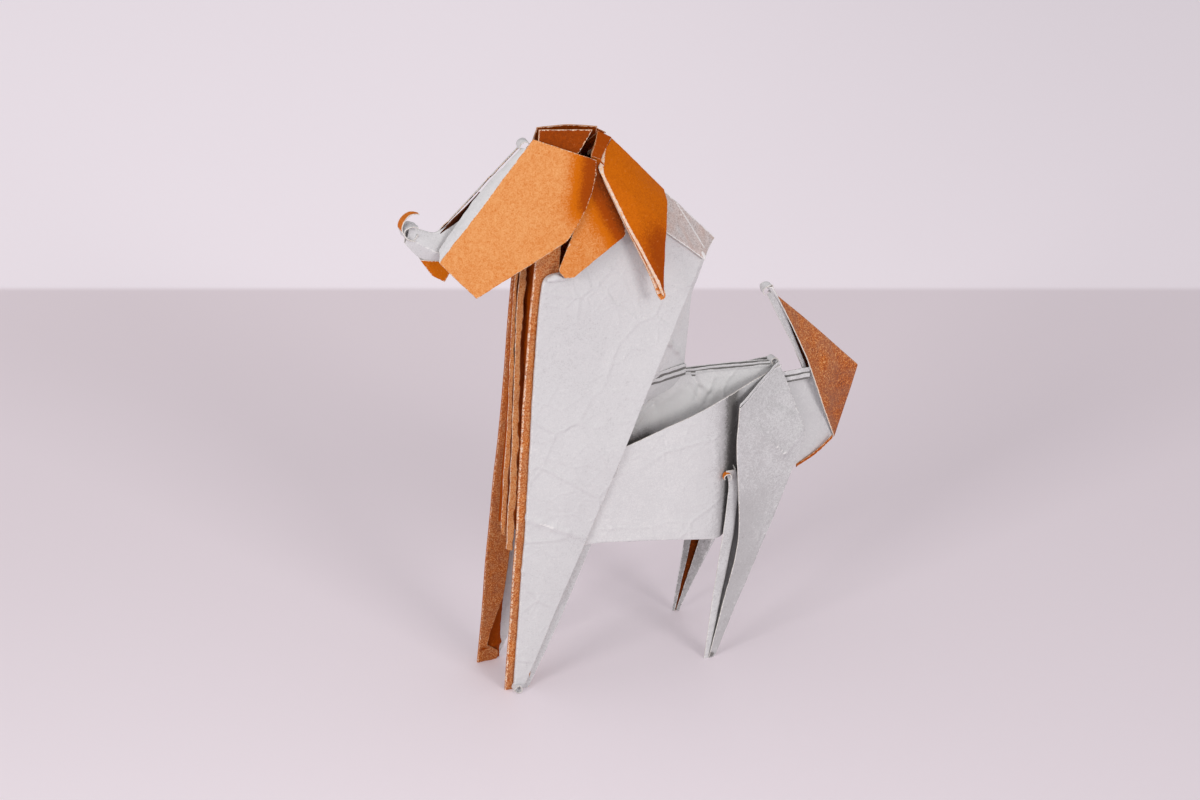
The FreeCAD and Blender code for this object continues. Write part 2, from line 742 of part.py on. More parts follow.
def main():
    """Build the sheet and write it."""
    os.makedirs("parts", exist_ok=True)
    sheet = folded_sheet()
    print("solids", len(sheet.Solids), "valid", sheet.isValid(), "volume", sheet.Volume)
    print("box", sheet.BoundBox)
    sheet.exportStep("parts/folded_sheet.step")


if __name__ == "__main__":
    main()
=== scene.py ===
import logging
import math
from collections.abc import Callable
from dataclasses import dataclass, field
from enum import Enum, IntEnum

import bpy
import numpy as np
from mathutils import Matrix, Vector


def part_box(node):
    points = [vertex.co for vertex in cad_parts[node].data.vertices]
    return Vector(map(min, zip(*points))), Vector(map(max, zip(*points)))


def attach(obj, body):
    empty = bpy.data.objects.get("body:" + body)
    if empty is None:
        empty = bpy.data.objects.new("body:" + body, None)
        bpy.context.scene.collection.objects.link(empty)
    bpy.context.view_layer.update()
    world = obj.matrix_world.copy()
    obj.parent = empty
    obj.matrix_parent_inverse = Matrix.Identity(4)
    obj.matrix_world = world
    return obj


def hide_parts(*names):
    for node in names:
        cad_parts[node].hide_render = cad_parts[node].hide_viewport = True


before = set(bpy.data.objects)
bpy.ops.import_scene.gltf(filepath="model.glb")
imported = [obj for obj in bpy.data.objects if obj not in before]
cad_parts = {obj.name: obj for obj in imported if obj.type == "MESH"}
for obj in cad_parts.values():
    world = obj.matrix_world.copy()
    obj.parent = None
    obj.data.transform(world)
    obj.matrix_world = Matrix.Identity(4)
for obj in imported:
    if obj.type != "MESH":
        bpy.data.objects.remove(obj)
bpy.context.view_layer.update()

# Origami dog folded from one square of two-tone paper. Its sizes are in millimetres:
# stations along the body (nose negative), full widths across it and heights. The dog faces
# -X, its left side is -Y and +Z is up.

NODE = "folded_sheet"
MM = 0.001
LIP = 0.06              # narrow strip of the mesh along every free edge
SPAN_SHARE = 0.47       # how far a rounded corner may reach towards its neighbour
FAR = 99.0              # distance of what is nowhere near
Array = np.ndarray
Rails = Array | list[Array]
Number = float | Array | list[float]
Values = tuple[float, ...]
Triple = tuple[float, float, float]
Colour = tuple[float, float, float, float]
Marks = tuple[tuple, ...]   # values of creases, one row each
log = logging.getLogger("origami_dog")


class Side(IntEnum):
    """Half of the dog, by the sign of its Y."""

    LEFT = -1
    RIGHT = 1

    def of(self, name: str) -> str:
        """The name of this side's piece."""
        return f"{name}_{self.name.lower()}"


class Face(Enum):
    """What a face of the sheet shows, by its place in the list of materials."""

    PALE = 0
    BROWN = 1
    CORE = 2
    TAN = 3


# ---- points and surfaces ----------------------------------------------------------------


def at(station: Number, width: Number, height: Number, side: Side = Side.LEFT) -> Array:
    """Points on one half of the dog.

    Args:
        station: place along the body.
        width: full width across both halves.
        height: height above the ground.
        side: the half that the points are on.

    Returns:
        The points, with X, Y and Z along the last axis.
    """
    parts = np.broadcast_arrays(station, side * np.asarray(width, float) / 2.0, height)
    return np.stack(parts, axis=-1).astype(float)


def between(a: Number, b: Number, share: Number) -> Number:
    """What lies the given share of the way from a to b."""
    return a + (b - a) * share


def inward(distance: Number, side: Side) -> Array:
    """Steps from one half of the dog towards its middle plane."""
    return at(0.0, -2.0 * np.asarray(distance, float), 0.0, side)


def shift(station: Number = 0.0, height: Number = 0.0) -> Array:
    """Steps along the body and up."""
    return at(station, 0.0, height)


def column(*values: float) -> Array:
    """Values one below the other, one for each station of a rail."""
    return np.array(values)[:, None]


def unit(vectors: Array) -> Array:
    """The vectors at length one."""
    return vectors / np.maximum(np.linalg.norm(vectors, axis=-1, keepdims=True), 1e-9)


def mirrored(half: Callable[[Side], list[Array]]) -> list[Array]:
    """Rails from the left edge of the dog through its middle to the right edge."""
    return half(Side.LEFT) + half(Side.RIGHT)[::-1]


def rounded(rows: Array, soft: Array, pitch: float) -> tuple[Array, list[int]]:
    """Fine rows of points from a few control rows.

    Between two control rows A and B the surface is straight: A + (B - A) t. At a control
    row C it turns by the parabola (1-q)^2 E + 2q(1-q) C + q^2 L, where E and L lie the
    softness before and after C, at most a share of the way to the neighbours.

    Args:
        rows: control rows, shaped (rows, points, 3).
        soft: how far from each control row its corner starts.
        pitch: distance between fine rows on the straights.

    Returns:
        The fine rows, and the index of the middle of each inner control row.
    """
    spans = np.maximum(np.linalg.norm(np.diff(rows, axis=0), axis=-1), 1e-6)
    turn = np.array([0.0, 0.25, 0.5, 0.75])[:, None, None]
    fine, marks, leave, count, final = [], [], rows[0], 0, len(rows) - 1
    for i in range(1, len(rows)):
        enter = rows[i]
        if i < final:
            back = np.minimum(SPAN_SHARE, soft[i] / spans[i - 1])[:, None]
            enter = between(rows[i], rows[i - 1], back)
        length = float(np.linalg.norm(enter - leave, axis=-1).mean())
        steps = max(1, math.ceil(length / pitch))
        share = np.arange(steps + (i == final)) / steps
        lip = min(0.3 / steps, LIP / max(length, 1e-6))
        if i == 1:
            share = np.insert(share, 1, lip)
        if i == final:
            share = np.insert(share, -1, 1.0 - lip)
        fine.append(between(leave, enter, share[:, None, None]))
        count += len(share)
        if i < final:
            ahead = np.minimum(SPAN_SHARE, soft[i] / spans[i])[:, None]
            leave = between(rows[i], rows[i + 1], ahead)
            fine.append((1 - turn) ** 2 * enter + 2 * turn * (1 - turn) * rows[i]
                        + turn ** 2 * leave)
            marks.append(count + 2)
            count += len(turn)
    return np.concatenate(fine), marks


@dataclass(frozen=True)
class Crease:
    """A crease or dent that handling left in a side panel, or a band of painted shade, between
    two points.

    The points are a station and a height each. Its ridge is height * exp(-(distance /
    width)^2), and its ink is cracked by the share crack in a line of a third of that width.
    Over the whole width its tone is darkened by painted shade, or lightened by painted light
    where that value is negative. It shows in the panels that are named, or in all of them.
    """

    start: tuple[float, float]
    end: tuple[float, float]
    height: float
    width: float
    crack: float = 0.0
    painted_shading: float = 0.0
    panels: tuple[int, ...] = ()
    side: Side = Side.LEFT

    def distance(self, points: Array) -> Array:
        """Distance of each point from the crease, seen from the side.

        Args:
            points: points of the sheet.

        Returns:
            Distances, which are far for points on the other half of the dog.
        """
        start = np.array(self.start)
        along = np.array(self.end) - start
        flat = points[..., ::2] - start
        share = np.clip(flat @ along / (along @ along), 0.0, 1.0)
        gap = np.linalg.norm(flat - share[..., None] * along, axis=-1)
        return np.where(points[..., 1] * self.side > 0, gap, FAR)


def marked(side: Side, *rows: tuple) -> tuple[Crease, ...]:
    """Creases of one half of the dog, from rows of their values in order."""
    return tuple(Crease(*row, side=side) for row in rows)


@dataclass(frozen=True)
class Handling:
    """Gentle waves that handling leaves in thin paper, the same for every layer.

    A wave moves a point by a * sin(k . p + phase). The layers lie close together, so they
    all take the same waves from the same place in space and stay clear of each other.
    """

    seed: int = 7
    slow: float = 0.13
    quick: float = 0.018
    fray: float = 0.028

    def push(self, points: Array, low: float, high: float, size: float, count: int,
             seed: int) -> Array:
        """How far some waves move the points.

        Args:
            points: points of the sheet.
            low: shortest wave length.
            high: longest wave length.
            size: amplitude of all the waves together.
            count: number of waves.
            seed: seed of the choice.

        Returns:
            A step for each point.
        """
        rng = np.random.default_rng(self.seed + seed)
        heading = unit(rng.normal(size=(count, 3)))
        length = rng.uniform(low, high, count)
        phase = rng.uniform(0, 2 * math.pi, count)
        push = unit(rng.normal(size=(count, 3)) * (0.55, 1.0, 0.4)) * size / math.sqrt(count)
        return np.sin(points @ (heading * (2 * math.pi / length)[:, None]).T + phase) @ push

    def moved(self, points: Array, edge: Array, ruffle: float) -> Array:
        """The points carried by slow and quick waves, and frayed along the free edges.

        Args:
            points: points of the sheet.
            edge: distance of each from the nearest edge, where fraying is strongest.
            ruffle: how strongly this run is ruffled.

        Returns:
            The moved points.
        """
        total = (points + self.push(points, 9.0, 22.0, self.slow, 9, 0)
                 + self.push(points, 2.6, 5.5, self.quick * ruffle, 9, 1))
        fray = self.push(total, 0.7, 2.4, self.fray * ruffle, 12, 5)
        return total + fray * np.exp(-edge / 0.4)[..., None]


@dataclass
class Run:
    """One run of the sheet: its fold lines and edges, and what its two sides show.

    The rails are control lines, stacked to (rails, stations, 3). Those named in folds are
    folds, and so are the stations named in cross. The outer side is the one that looks
    along facing where the panel and the first station interval begin. Soft and bend are the
    reach of a rounded corner at a fold and at a station. Tone and inner_tone move the colour
    of each side; runs deep between layers get low tones that paint the shade there.
    """

    rails: Rails
    facing: Triple = (0.0, -1.0, 0.0)
    outer: Face = Face.PALE
    inner: Face = Face.PALE
    rim: Face = Face.CORE
    panel: int = 0
    soft: float = 0.22
    bend: float = 0.8
    folds: tuple[int, ...] = ()
    cross: tuple[int, ...] = ()
    fullness: float = 0.0
    ruffle: float = 1.0
    tone: float = 0.0
    inner_tone: float = 0.0
    worn: float = 1.0
    torn: float | None = None
    fade: float = 0.0
    creases: tuple[Crease, ...] = ()
    tint: float = 0.0

    def __post_init__(self) -> None:
        """Stack the rails."""
        self.rails = np.stack(self.rails)

    def outward(self) -> int:
        """+1 if the outer side is the one that the grid's own normal points to."""
        (a, b), (c, d) = self.rails[self.panel:self.panel + 2, :2]
        return 1 if np.cross(c - a + d - b, b - a + d - c) @ np.array(self.facing) > 0 else -1


def brown(rails: Rails, facing: Triple, **looks: object) -> Run:
    """A run that is brown on both sides, with its cut edges stained."""
    return Run(rails, facing, Face.BROWN, Face.BROWN, Face.TAN, **looks)


def hollow(rails: Rails, tone: float, **looks: object) -> Run:
    """A brown run without wear, painted dark as shade, for what lies deep between layers."""
    return Run(rails, outer=Face.BROWN, inner=Face.BROWN, rim=Face.BROWN, tone=tone,
               inner_tone=-1.0, worn=0.0, **looks)


def stacked(top: Array, side: Side, tall: float, gap: float, tone: float) -> list[Run]:
    """Two narrow pale layers one below the other, before one painted dark as shadow between
    them.

    Args:
        top: upper edge of the first layer.
        side: half of the dog that they face.
        tall: height of each.
        gap: height of the painted shadow line below each.
        tone: tone of the pale layers.

    Returns:
        The layer painted dark as shadow, and the pale ones.
    """
    facing = (0, side, 0)
    back = top + inward(0.14, side) - shift(0.0, 0.05)
    # the back layer's tone of -2.3 paints the shadow between the pale layers
    runs = [Run([back, back - shift(0.0, 2 * (tall + gap) - 0.05)], facing, rim=Face.PALE,
                tone=-2.3, inner_tone=-2.3, worn=0.0)]
    for row in (top, top - shift(0.0, tall + gap)):
        runs.append(Run([row, row - shift(0.0, tall)], facing, rim=Face.PALE, tone=tone,
                        ruffle=2.0, worn=0.5))
    return runs


def rolled(centre: Array, radius: float, width: float, turns: tuple[float, float, int],
           fade: float, facing: Triple, **looks: object) -> Run:
    """A strip rolled about an axis across the dog.

    A point is the centre plus the radius times (cos, sin) of a turn that goes evenly from
    the first angle to the last, and its place across shrinks by the fade at each step.

    Args:
        centre: centre of the roll.
        radius: radius of the roll.
        width: width of the strip.
        turns: first and last angle in degrees, and number of steps.
        fade: share of the width lost at each step.
        facing: where the outer side looks at its first angle.
        looks: looks of the run.

    Returns:
        The run.
    """
    first, last, steps = turns
    turn = np.radians(np.linspace(first, last, steps + 1))
    narrow = width * (1.0 - fade * np.arange(steps + 1))
    ring = centre + radius * np.stack([np.cos(turn), 0 * turn, np.sin(turn)], axis=-1)
    rails = [ring + inward(share * narrow, Side.LEFT) for share in (-0.5, 0.0, 0.5)]
    return Run(rails, facing, **looks)


@dataclass
class Skin:
    """Slabs of paper gathered from runs, to be made one mesh."""

    paper: float = 0.12
    pitch: float = 0.21
    handling: Handling = Handling()
    corners: list[Array] = field(default_factory=list)
    faces: list[Array] = field(default_factory=list)
    marks: list[Array] = field(default_factory=list)
    flat: list[Array] = field(default_factory=list)
    sides: list[Array] = field(default_factory=list)
    count: int = 0

    def grid(self, run: Run) -> tuple[Array, Array, Array, Array, Array]:
        """Middle surface of a run on its fine grid.

        The rails are rounded along the stations first and across the folds second. Fullness
        swells the grid by sin(pi u) sin(pi v) along its normal, then creases raise it.

        Args:
            run: the run of the sheet.

        Returns:
            The points, and for each its distance from the nearest fold, its distance from the
            nearest edge, how cracked its ink is and how much painted shade darkens it.
        """
        stations = run.rails.transpose(1, 0, 2)
        bends = np.full(len(stations), run.bend)
        bends[list(run.cross)] = run.soft
        lines, cross_marks = rounded(stations, bends, self.pitch)
        points, fold_marks = rounded(lines.transpose(1, 0, 2),
                                     np.full(len(run.rails), run.soft), self.pitch)
        u, v = [np.sin(math.pi * np.linspace(0, 1, size)) for size in points.shape[:2]]
        swell = run.fullness * np.outer(u, v)[..., None] * run.outward()
        points = points + swell * self.normals(points)

        def nearest(lines: list[Array]) -> Array:
            """Distance of each point from the nearest of some lines of the grid."""
            gaps = [np.linalg.norm(points - line, axis=-1) for line in lines]
            return np.min([np.full(points.shape[:2], FAR), *gaps], axis=0)

        edge = nearest([points[:1], points[-1:], points[:, :1], points[:, -1:]])
        folds = [fold_marks[rail - 1] for rail in run.folds]
        turns = [cross_marks[station - 1] for station in run.cross]
        fold = nearest([points[m:m + 1] for m in folds] + [points[:, m:m + 1] for m in turns])
        fold += np.maximum(0.0, run.fade - self.along(points, 0)) * 0.25
        crack, lift, painted_shading = np.zeros((3, *points.shape[:2]))
        for crease in run.creases:
            gap = crease.distance(points)
            if crease.panels:
                panel = np.searchsorted(fold_marks, np.arange(len(points)), side="right")
                gap[~np.isin(panel, crease.panels)] = FAR
            near = np.exp(-(gap / crease.width) ** 2)
            lift += crease.height * near
            # painted shade on the tone, painted light where negative
            painted_shading += crease.painted_shading * near
            crack = np.maximum(crack, crease.crack * np.exp(-(gap / crease.width * 3) ** 2))
        points = points + lift[..., None] * self.normals(points) * run.outward()
        return self.handling.moved(points, edge, run.ruffle), fold, edge, crack, painted_shading

    @staticmethod
    def normals(points: Array) -> Array:
        """Unit normals of a grid, as the cross product of its two directions."""
        return unit(np.cross(np.gradient(points, axis=0), np.gradient(points, axis=1)))

    @staticmethod
    def along(points: Array, across: int) -> Array:
        """Mean length of a grid up to each of its lines, where across is the mean's axis."""
        steps = np.linalg.norm(np.diff(points, axis=1 - across), axis=-1).mean(axis=across)
        return np.concatenate([[0.0], steps.cumsum()])

    @staticmethod
    def ring(grid: Array) -> Array:
        """The values round the rim of a grid, in order."""
        return np.concatenate([grid[:, 0], grid[-1, 1:], grid[-2::-1, -1], grid[0, -2:0:-1]])

    def add(self, run: Run) -> None:
        """Add the slab of one run: two faces half the paper either side, and its rim.

        The rim has a middle line pushed out by a quarter of the paper, so that a cut edge
        is blunt and rounded.

        Args:
            run: the run of the sheet.
        """
        points, fold, edge, crack, painted_shading = self.grid(run)
        high, wide = points.shape[:2]
        size = high * wide
        index = np.arange(size).reshape(high, wide)
        border = self.ring(index)
        middle = points.reshape(-1, 3)
        half = self.normals(points).reshape(-1, 3) * (self.paper / 2)
        within = self.ring(np.pad(index[1:-1, 1:-1], 1, mode="edge"))
        out = unit(middle[border] - middle[within]) * self.paper / 4
        quad = np.stack([index[:-1, :-1], index[1:, :-1], index[1:, 1:], index[:-1, 1:]],
                        axis=-1).reshape(-1, 4)
        rim = 2 * size + np.arange(len(border))
        after, ahead = np.roll(rim, -1), np.roll(border, -1)
        faces = np.concatenate([quad, quad[:, ::-1] + size,
                                np.stack([border, rim, after, ahead], axis=-1),
                                np.stack([rim, border + size, ahead + size, after], axis=-1)])
        order = run.outward()
        shown = [run.outer.value, run.inner.value][::order]
        tones = [run.tone, run.inner_tone][::order]
        shares = [size, size, len(border)]

        def whole(values: Array) -> Array:
            """One value for every corner, from the values on the grid."""
            line = values.reshape(-1)
            return np.concatenate([line, line, line[border]])

        torn = run.worn if run.torn is None else run.torn
        marks = [whole(fold), whole(edge), whole(crack),
                 # tone of each corner, less the painted shade of its creases
                 np.repeat([*tones, min(tones)], shares) - whole(painted_shading),
                 np.repeat([run.worn], sum(shares)), np.repeat([torn], sum(shares)),
                 np.repeat([*[run.tint, 0.0][::order], 0.0], shares)]
        flat = np.meshgrid(self.along(points, 1), self.along(points, 0), indexing="ij")
        self.corners += [middle + half, middle - half, middle[border] + out]
        self.faces.append(faces + self.count)
        self.sides.append(np.repeat([*shown, run.rim.value],
                                    [len(quad), len(quad), 2 * len(border)]))
        self.marks.append(np.stack(marks))
        self.flat.append(np.stack([whole(line) for line in flat], axis=-1))
        self.count += sum(shares)


@dataclass(frozen=True)
class Place:
    """Where the sheet's sizes lie in the frame, from the box of its node."""

    curl_front: float = -28.348

    def corners(self) -> tuple[Array, Array]:
        """Lowest and highest corner of the node, in metres."""
        low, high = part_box(NODE)
        return np.array(low), np.array(high)

    def inside(self, points: Array) -> Array:
        """Points in metres in the frame, from sizes in millimetres, held in the node's box."""
        low, high = self.corners()
        moved = points * MM
        moved[:, 0] += low[0] - self.curl_front * MM
        return np.clip(moved, low, high)


@dataclass
class Maker:
    """Turns runs of the sheet into finished pieces."""

    place: Place
    finishes: list[bpy.types.Material]

    def piece(self, name: str, runs: list[Run]) -> None:
        """Make one piece that rides with the frame.

        Args:
            name: name of the piece.
            runs: its runs of the sheet.
        """
        skin = Skin()
        for run in runs:
            skin.add(run)
        corners = self.place.inside(np.concatenate(skin.corners))
        faces = np.concatenate(skin.faces)
        mesh = bpy.data.meshes.new(name)
        mesh.vertices.add(len(corners))
        mesh.vertices.foreach_set("co", corners.ravel())
        mesh.loops.add(faces.size)
        mesh.loops.foreach_set("vertex_index", faces.ravel().astype(np.int32))
        mesh.polygons.add(len(faces))
        mesh.polygons.foreach_set("loop_start", np.arange(0, faces.size, 4, dtype=np.int32))
        mesh.polygons.foreach_set("material_index",
                                  np.concatenate(skin.sides).astype(np.int32))
        mesh.polygons.foreach_set("use_smooth", np.ones(len(faces), dtype=bool))
        mesh.update(calc_edges=True)
        labels = ("fold", "edge", "crack", "tone", "worn", "torn", "tint")
        for label, values in zip(labels, np.concatenate(skin.marks, axis=1)):
            mark = mesh.attributes.new(label, "FLOAT", "POINT")
            mark.data.foreach_set("value", values.astype(np.float32))
        flat = np.concatenate(skin.flat)[faces.ravel()] / 100.0
        layer = mesh.uv_layers.new(name="flat_sheet")
        layer.data.foreach_set("uv", flat.astype(np.float32).ravel())
        for finish in self.finishes:
            mesh.materials.append(finish)
        piece = bpy.data.objects.new(name, mesh)
        bpy.context.scene.collection.objects.link(piece)
        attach(piece, "root")
        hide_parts(NODE)
        log.info("%s: %d corners, %d triangles", name, len(corners), 2 * len(faces))


# ---- shared sizes -----------------------------------------------------------------------


@dataclass(frozen=True)
class Posture:
    """Sizes that several parts of the dog share."""

    fold: float = 0.30
    crown_height: float = 72.0
    crown_rear: float = -4.4
    crown_fall: float = 1.0
    poll: float = -2.9
    crest_tip: float = 10.4
    crest_tip_drop: float = 17.2
    roof: float = 2.7
    roof_drop: float = 13.4
    roof_width: float = 6.3
    back_height: float = 38.0
    back: float = 6.7
    rump: float = 19.2
    rump_fall: float = 1.0
    rump_width: float = 1.8
    flank_drop: float = 6.1
    elbow: float = -3.1
    belly_height: float = 19.3

    @property
    def rump_height(self) -> float:
        """Height of the rear end of the back."""
        return self.back_height - self.rump_fall

    @property
    def flank_height(self) -> float:
        """Height of the free edge of the flank at the elbow."""
        return self.back_height - self.flank_drop

    @property
    def crest_tip_height(self) -> float:
        """Height of the rear point of the neck roof."""
        return self.crown_height - self.crest_tip_drop

    def crest(self, station: float) -> Array:
        """Point of the crest line, straight from the crown to the crest tip."""
        front = at(self.crown_rear, 0.0, self.crown_height - self.crown_fall)
        rear = at(self.crest_tip, 0.0, self.crest_tip_height)
        return between(front, rear, (station - front[0]) / (rear[0] - front[0]))


@dataclass(frozen=True)
class Part:
    """A sub-assembly of the dog: its sizes, and methods that give and make its pieces."""

    posture: Posture = Posture()

    def pieces(self) -> dict[str, list[Run]]:
        """The runs of each piece, by the piece's name."""
        raise NotImplementedError

    def build(self, maker: Maker) -> None:
        """Make the part's pieces."""
        for name, runs in self.pieces().items():
            maker.piece(name, runs)


# ---- forelegs, chest and neck -----------------------------------------------------------


@dataclass(frozen=True)
class Forequarters(Part):
    """Neck, chest and forelegs: pale panels, their linings, brown wraps and pleats."""

    toe: float = -18.05
    track: float = 8.7
    right_step: float = 1.3
    toe_width: float = 1.0
    chest_top_drop: float = 12.0
    chest_lean: float = 4.85
    chest_top_width: float = 7.4
    stripe_width: float = 0.95
    stripe_under: float = 1.6
    stripe_depth: float = 0.55
    tuck: float = 0.40
    medial_widths: Values = (2.2, 2.2, 2.2, 3.0, 2.5, 1.25, 0.9, 2.6, 2.5)
    left_widths: Values = (1.9, 1.6, 1.5, 1.4)
    medial_insets: Values = (1.1, 1.1, 1.1, 0.8, 0.5, 0.5, 0.5, 0.3, 0.2)
    collar_drop: float = 16.7
    collar_cut: float = 3.2
    collar_corner: float = 1.2
    eave_out: float = 0.22
    eave_drop: float = 0.35
    shoulder_width: float = 11.2
    shoulder_bulge: float = 0.35
    lining_out: float = 1.5
    lining_depth: float = 0.75
    pleat_levels: Values = (60.0, 51.0, 43.0, 38.0, 31.5, 21.0)
    inner_pleat: tuple[Values, ...] = ((0.318, 0.318, 0.286, 0.185, 0.05, 0.05),
                                       (0.636, 0.636, 0.53, 0.463, 0.36, 0.33))
    outer_pleat: tuple[Values, ...] = ((0.705, 0.705, 0.57, 0.50, 0.39, 0.365),
                                       (0.84, 0.84, 0.775, 0.685, 0.62, 0.555))
    cleft_end: Values = (0.886, 0.886, 0.816, 0.72, 0.655, 0.565)
    slant: float = 2.6
    pleat_ends: tuple[float, float] = (17.6, 18.7)
    withers_lead: float = 2.5
    withers_drop: float = 0.8
    withers_width: float = 5.2
    roof_front: float = -4.9
    roof_front_drop: float = 7.2
    roof_front_width: float = 4.4
    nape_set: float = 1.2
    nape_lean: float = 1.7
    nape_tuck: float = 3.6
    nape_reach: float = 4.6
    roof_marks: Marks = (((5.3, 60.2), (8.0, 54.8), 0.12, 0.35, 0.8),
                         ((7.5, 54.5), (7.8, 54.0), 0.12, 0.5, 1.0))
    panel_marks: Marks = (((-15.2, 24.1), (-13.6, 23.3), 0.14, 0.4, 0.25),
                          ((-13.6, 23.3), (-12.1, 22.6), 0.14, 0.4, 0.95),
                          ((-12.1, 22.6), (-10.2, 21.7), 0.14, 0.4, 0.35),
                          ((-10.2, 21.7), (-8.3, 20.6), 0.14, 0.4, 0.1),
                          ((-16.1, 17.2), (-15.7, 16.8), 0.08, 0.3, 1.0),
                          ((-14.6, 56.9), (-13.0, 55.6), 0.25, 0.55, 0.5),
                          ((-9.0, 47.0), (-5.5, 42.0), 0.05, 0.8))
    shoe_mark: tuple = ((-18.6, 1.9), (-15.9, 2.2), -0.25, 0.3)
    nape_marks: Marks = (((3.5, 43.2), (4.3, 42.6), 0.30, 0.26),
                         ((4.3, 42.6), (5.5, 41.2), 0.30, 0.26),
                         ((5.5, 41.2), (6.2, 39.9), 0.30, 0.26),
                         ((7.0, 47.0), (6.0, 44.0), 0.08, 0.3, 0.3))

    @property
    def chest_top(self) -> float:
        """Height at which the pleated chest ends in the head."""
        return self.posture.crown_height - self.chest_top_drop

    def front_edge(self, height: Number, side: Side) -> Array:
        """Front edge of the pale panel, straight from its toe to the top of the chest."""
        rise = np.asarray(height, float) / self.chest_top
        step = self.right_step if side is Side.RIGHT else 0.0
        station = self.toe + self.stripe_width + self.chest_lean * rise - step * (1 - rise)
        return at(station, between(self.track, self.chest_top_width, rise), height, side)

    def withers(self, side: Side) -> Array:
        """Rear upper corner of the pale panel."""
        p = self.posture
        return at(p.crest_tip - self.withers_lead, self.withers_width,
                  p.crest_tip_height - self.withers_drop, side)

    def rear_edge(self, height: Number, side: Side) -> Array:
        """Rear edge of the pale panel, straight from withers to elbow and to heel."""
        p = self.posture
        knots = np.stack([self.front_edge(0.0, side) + shift(self.toe_width),
                          at(p.elbow, self.shoulder_width, p.flank_height, side),
                          self.withers(side)])
        height = np.asarray(height, float)
        x, y = [np.interp(height, knots[:, 2], knots[:, axis]) for axis in (0, 1)]
        return np.stack([x, y, height], axis=-1)

    def middle(self, height: Number, side: Side) -> Array:
        """Points half way between the front and the rear edge of the pale panel."""
        return between(self.front_edge(height, side), self.rear_edge(height, side), 0.5)

    def behind(self, height: Number, distance: Number, depth: float, side: Side) -> Array:
        """Points a distance behind the front edge and a depth inside the pale panel.

        Args:
            height: height of the points.
            distance: how far behind the front edge, along the panel.
            depth: how far inside the panel.
            side: half of the dog.

        Returns:
            The points.
        """
        front = self.front_edge(height, side)
        along = unit(self.rear_edge(height, side) - front)
        return front + along * np.asarray(distance, float)[..., None] + inward(depth, side)

    def eave(self, side: Side) -> Array:
        """Lower edge of the neck roof."""
        p = self.posture
        ahead = at([self.roof_front, p.roof], [self.roof_front_width, p.roof_width],
                   [p.crown_height - self.roof_front_drop, p.crown_height - p.roof_drop], side)
        return np.vstack([ahead, self.withers(side)])

    def leg_levels(self) -> Array:
        """Heights of the stations down the leg, shared by its layers."""
        p = self.posture
        return np.array([p.flank_height, p.belly_height, p.belly_height / 2, 0.0])

    def roof(self, side: Side) -> Run:
        """Half of the neck roof, which laps over the panel below it."""
        p = self.posture
        crest = np.stack([p.crest(self.roof_front + 1.2), p.crest(5.0), p.crest(p.crest_tip)])
        eave = self.eave(side)
        out = -inward(self.eave_out, side)
        rows = [crest, between(crest, eave, 0.5), eave + 0.6 * out,
                eave + out - shift(0.0, self.eave_drop)]
        return Run(np.stack(rows, axis=1), (0, side, 0.4), Face.PALE, Face.BROWN, bend=0.3,
                   torn=3.0, tone=-0.3, tint=0.5, fullness=-0.1,
                   creases=marked(side, *self.roof_marks))

    def outer_panel(self, side: Side) -> Run:
        """Pale neck, shoulder and leg panel below the neck roof."""
        p, legs = self.posture, self.leg_levels()
        collar = p.crown_height - self.collar_drop
        turn = np.radians([0.0, 30.0, 60.0, 90.0])
        corner = self.behind(collar - self.collar_corner * (1 - np.cos(turn)),
                             self.collar_corner * (1 - np.sin(turn)), 0.0, side)
        body = between(self.withers(side)[2], p.flank_height,
                       np.array([0.14, 0.23, 0.32, 0.41, 0.55]))
        under = self.eave(side) + inward(0.16, side)
        bulge = self.shoulder_bulge * legs / p.flank_height
        front = np.vstack([under[0], self.behind(collar, self.collar_cut, 0.0, side), corner,
                           self.front_edge(legs, side)])
        middle = np.vstack([under[1], self.middle(body, side),
                            self.middle(legs, side) - inward(bulge, side)])
        rear = np.vstack([under[2] - shift(0.1), self.rear_edge(body, side),
                          self.rear_edge(legs, side)])
        return Run([front + inward(p.fold, side), front, middle, rear], (0, side, 0),
                   Face.PALE, Face.BROWN, panel=2, bend=1.2, folds=(1,), worn=0.8,
                   creases=marked(side, *self.panel_marks))

    def collar_lip(self, side: Side) -> Run:
        """Upper front corner of the panel, curled outwards in a small lip."""
        collar = self.posture.crown_height - self.collar_drop
        turn = np.radians(np.linspace(-70.0, 190.0, 8))
        base = self.behind(np.full(8, collar - 0.15), 0.35, 0.0, side)
        rows = []
        for ahead, size in ((0.0, 0.22), (0.9, 0.42), (1.8, 0.30), (2.6, 0.12)):
            ring = shift(0.0, size * np.sin(turn)) - inward(size + size * np.cos(turn), side)
            rows.append(base + ring + shift(ahead, -0.25 * abs(ahead - 0.9)))
        return Run(rows, (0, side, 0), ruffle=3.0, soft=0.3, bend=0.15)

    def toe_knob(self, side: Side) -> Run:
        """Crumpled end of the pale panel at the ground."""
        spot = self.front_edge(0.62, side) + shift(0.25) - inward(0.15, side)
        return rolled(spot, 0.5, 1.5, (-120, 200, 10), 0.04, (1, 0, 0), ruffle=7.0, soft=0.1,
                      bend=0.1)

    def lining(self, side: Side) -> Run:
        """Second pale layer, folded back from the front edge, out behind the rear one."""
        p, levels = self.posture, self.leg_levels()
        outs = [0.1, self.lining_out, self.lining_out, self.toe_width * 0.9]
        depths = [p.fold, self.lining_depth, self.lining_depth * 0.7, p.fold]
        front = self.front_edge(levels, side) + inward(p.fold - 0.04, side)
        rear = self.rear_edge(levels, side) + shift(outs) + inward(depths, side)
        # a tone of -0.25 paints the shade that this layer lies in
        return Run([front, rear], (0, side, 0), tone=-0.25)

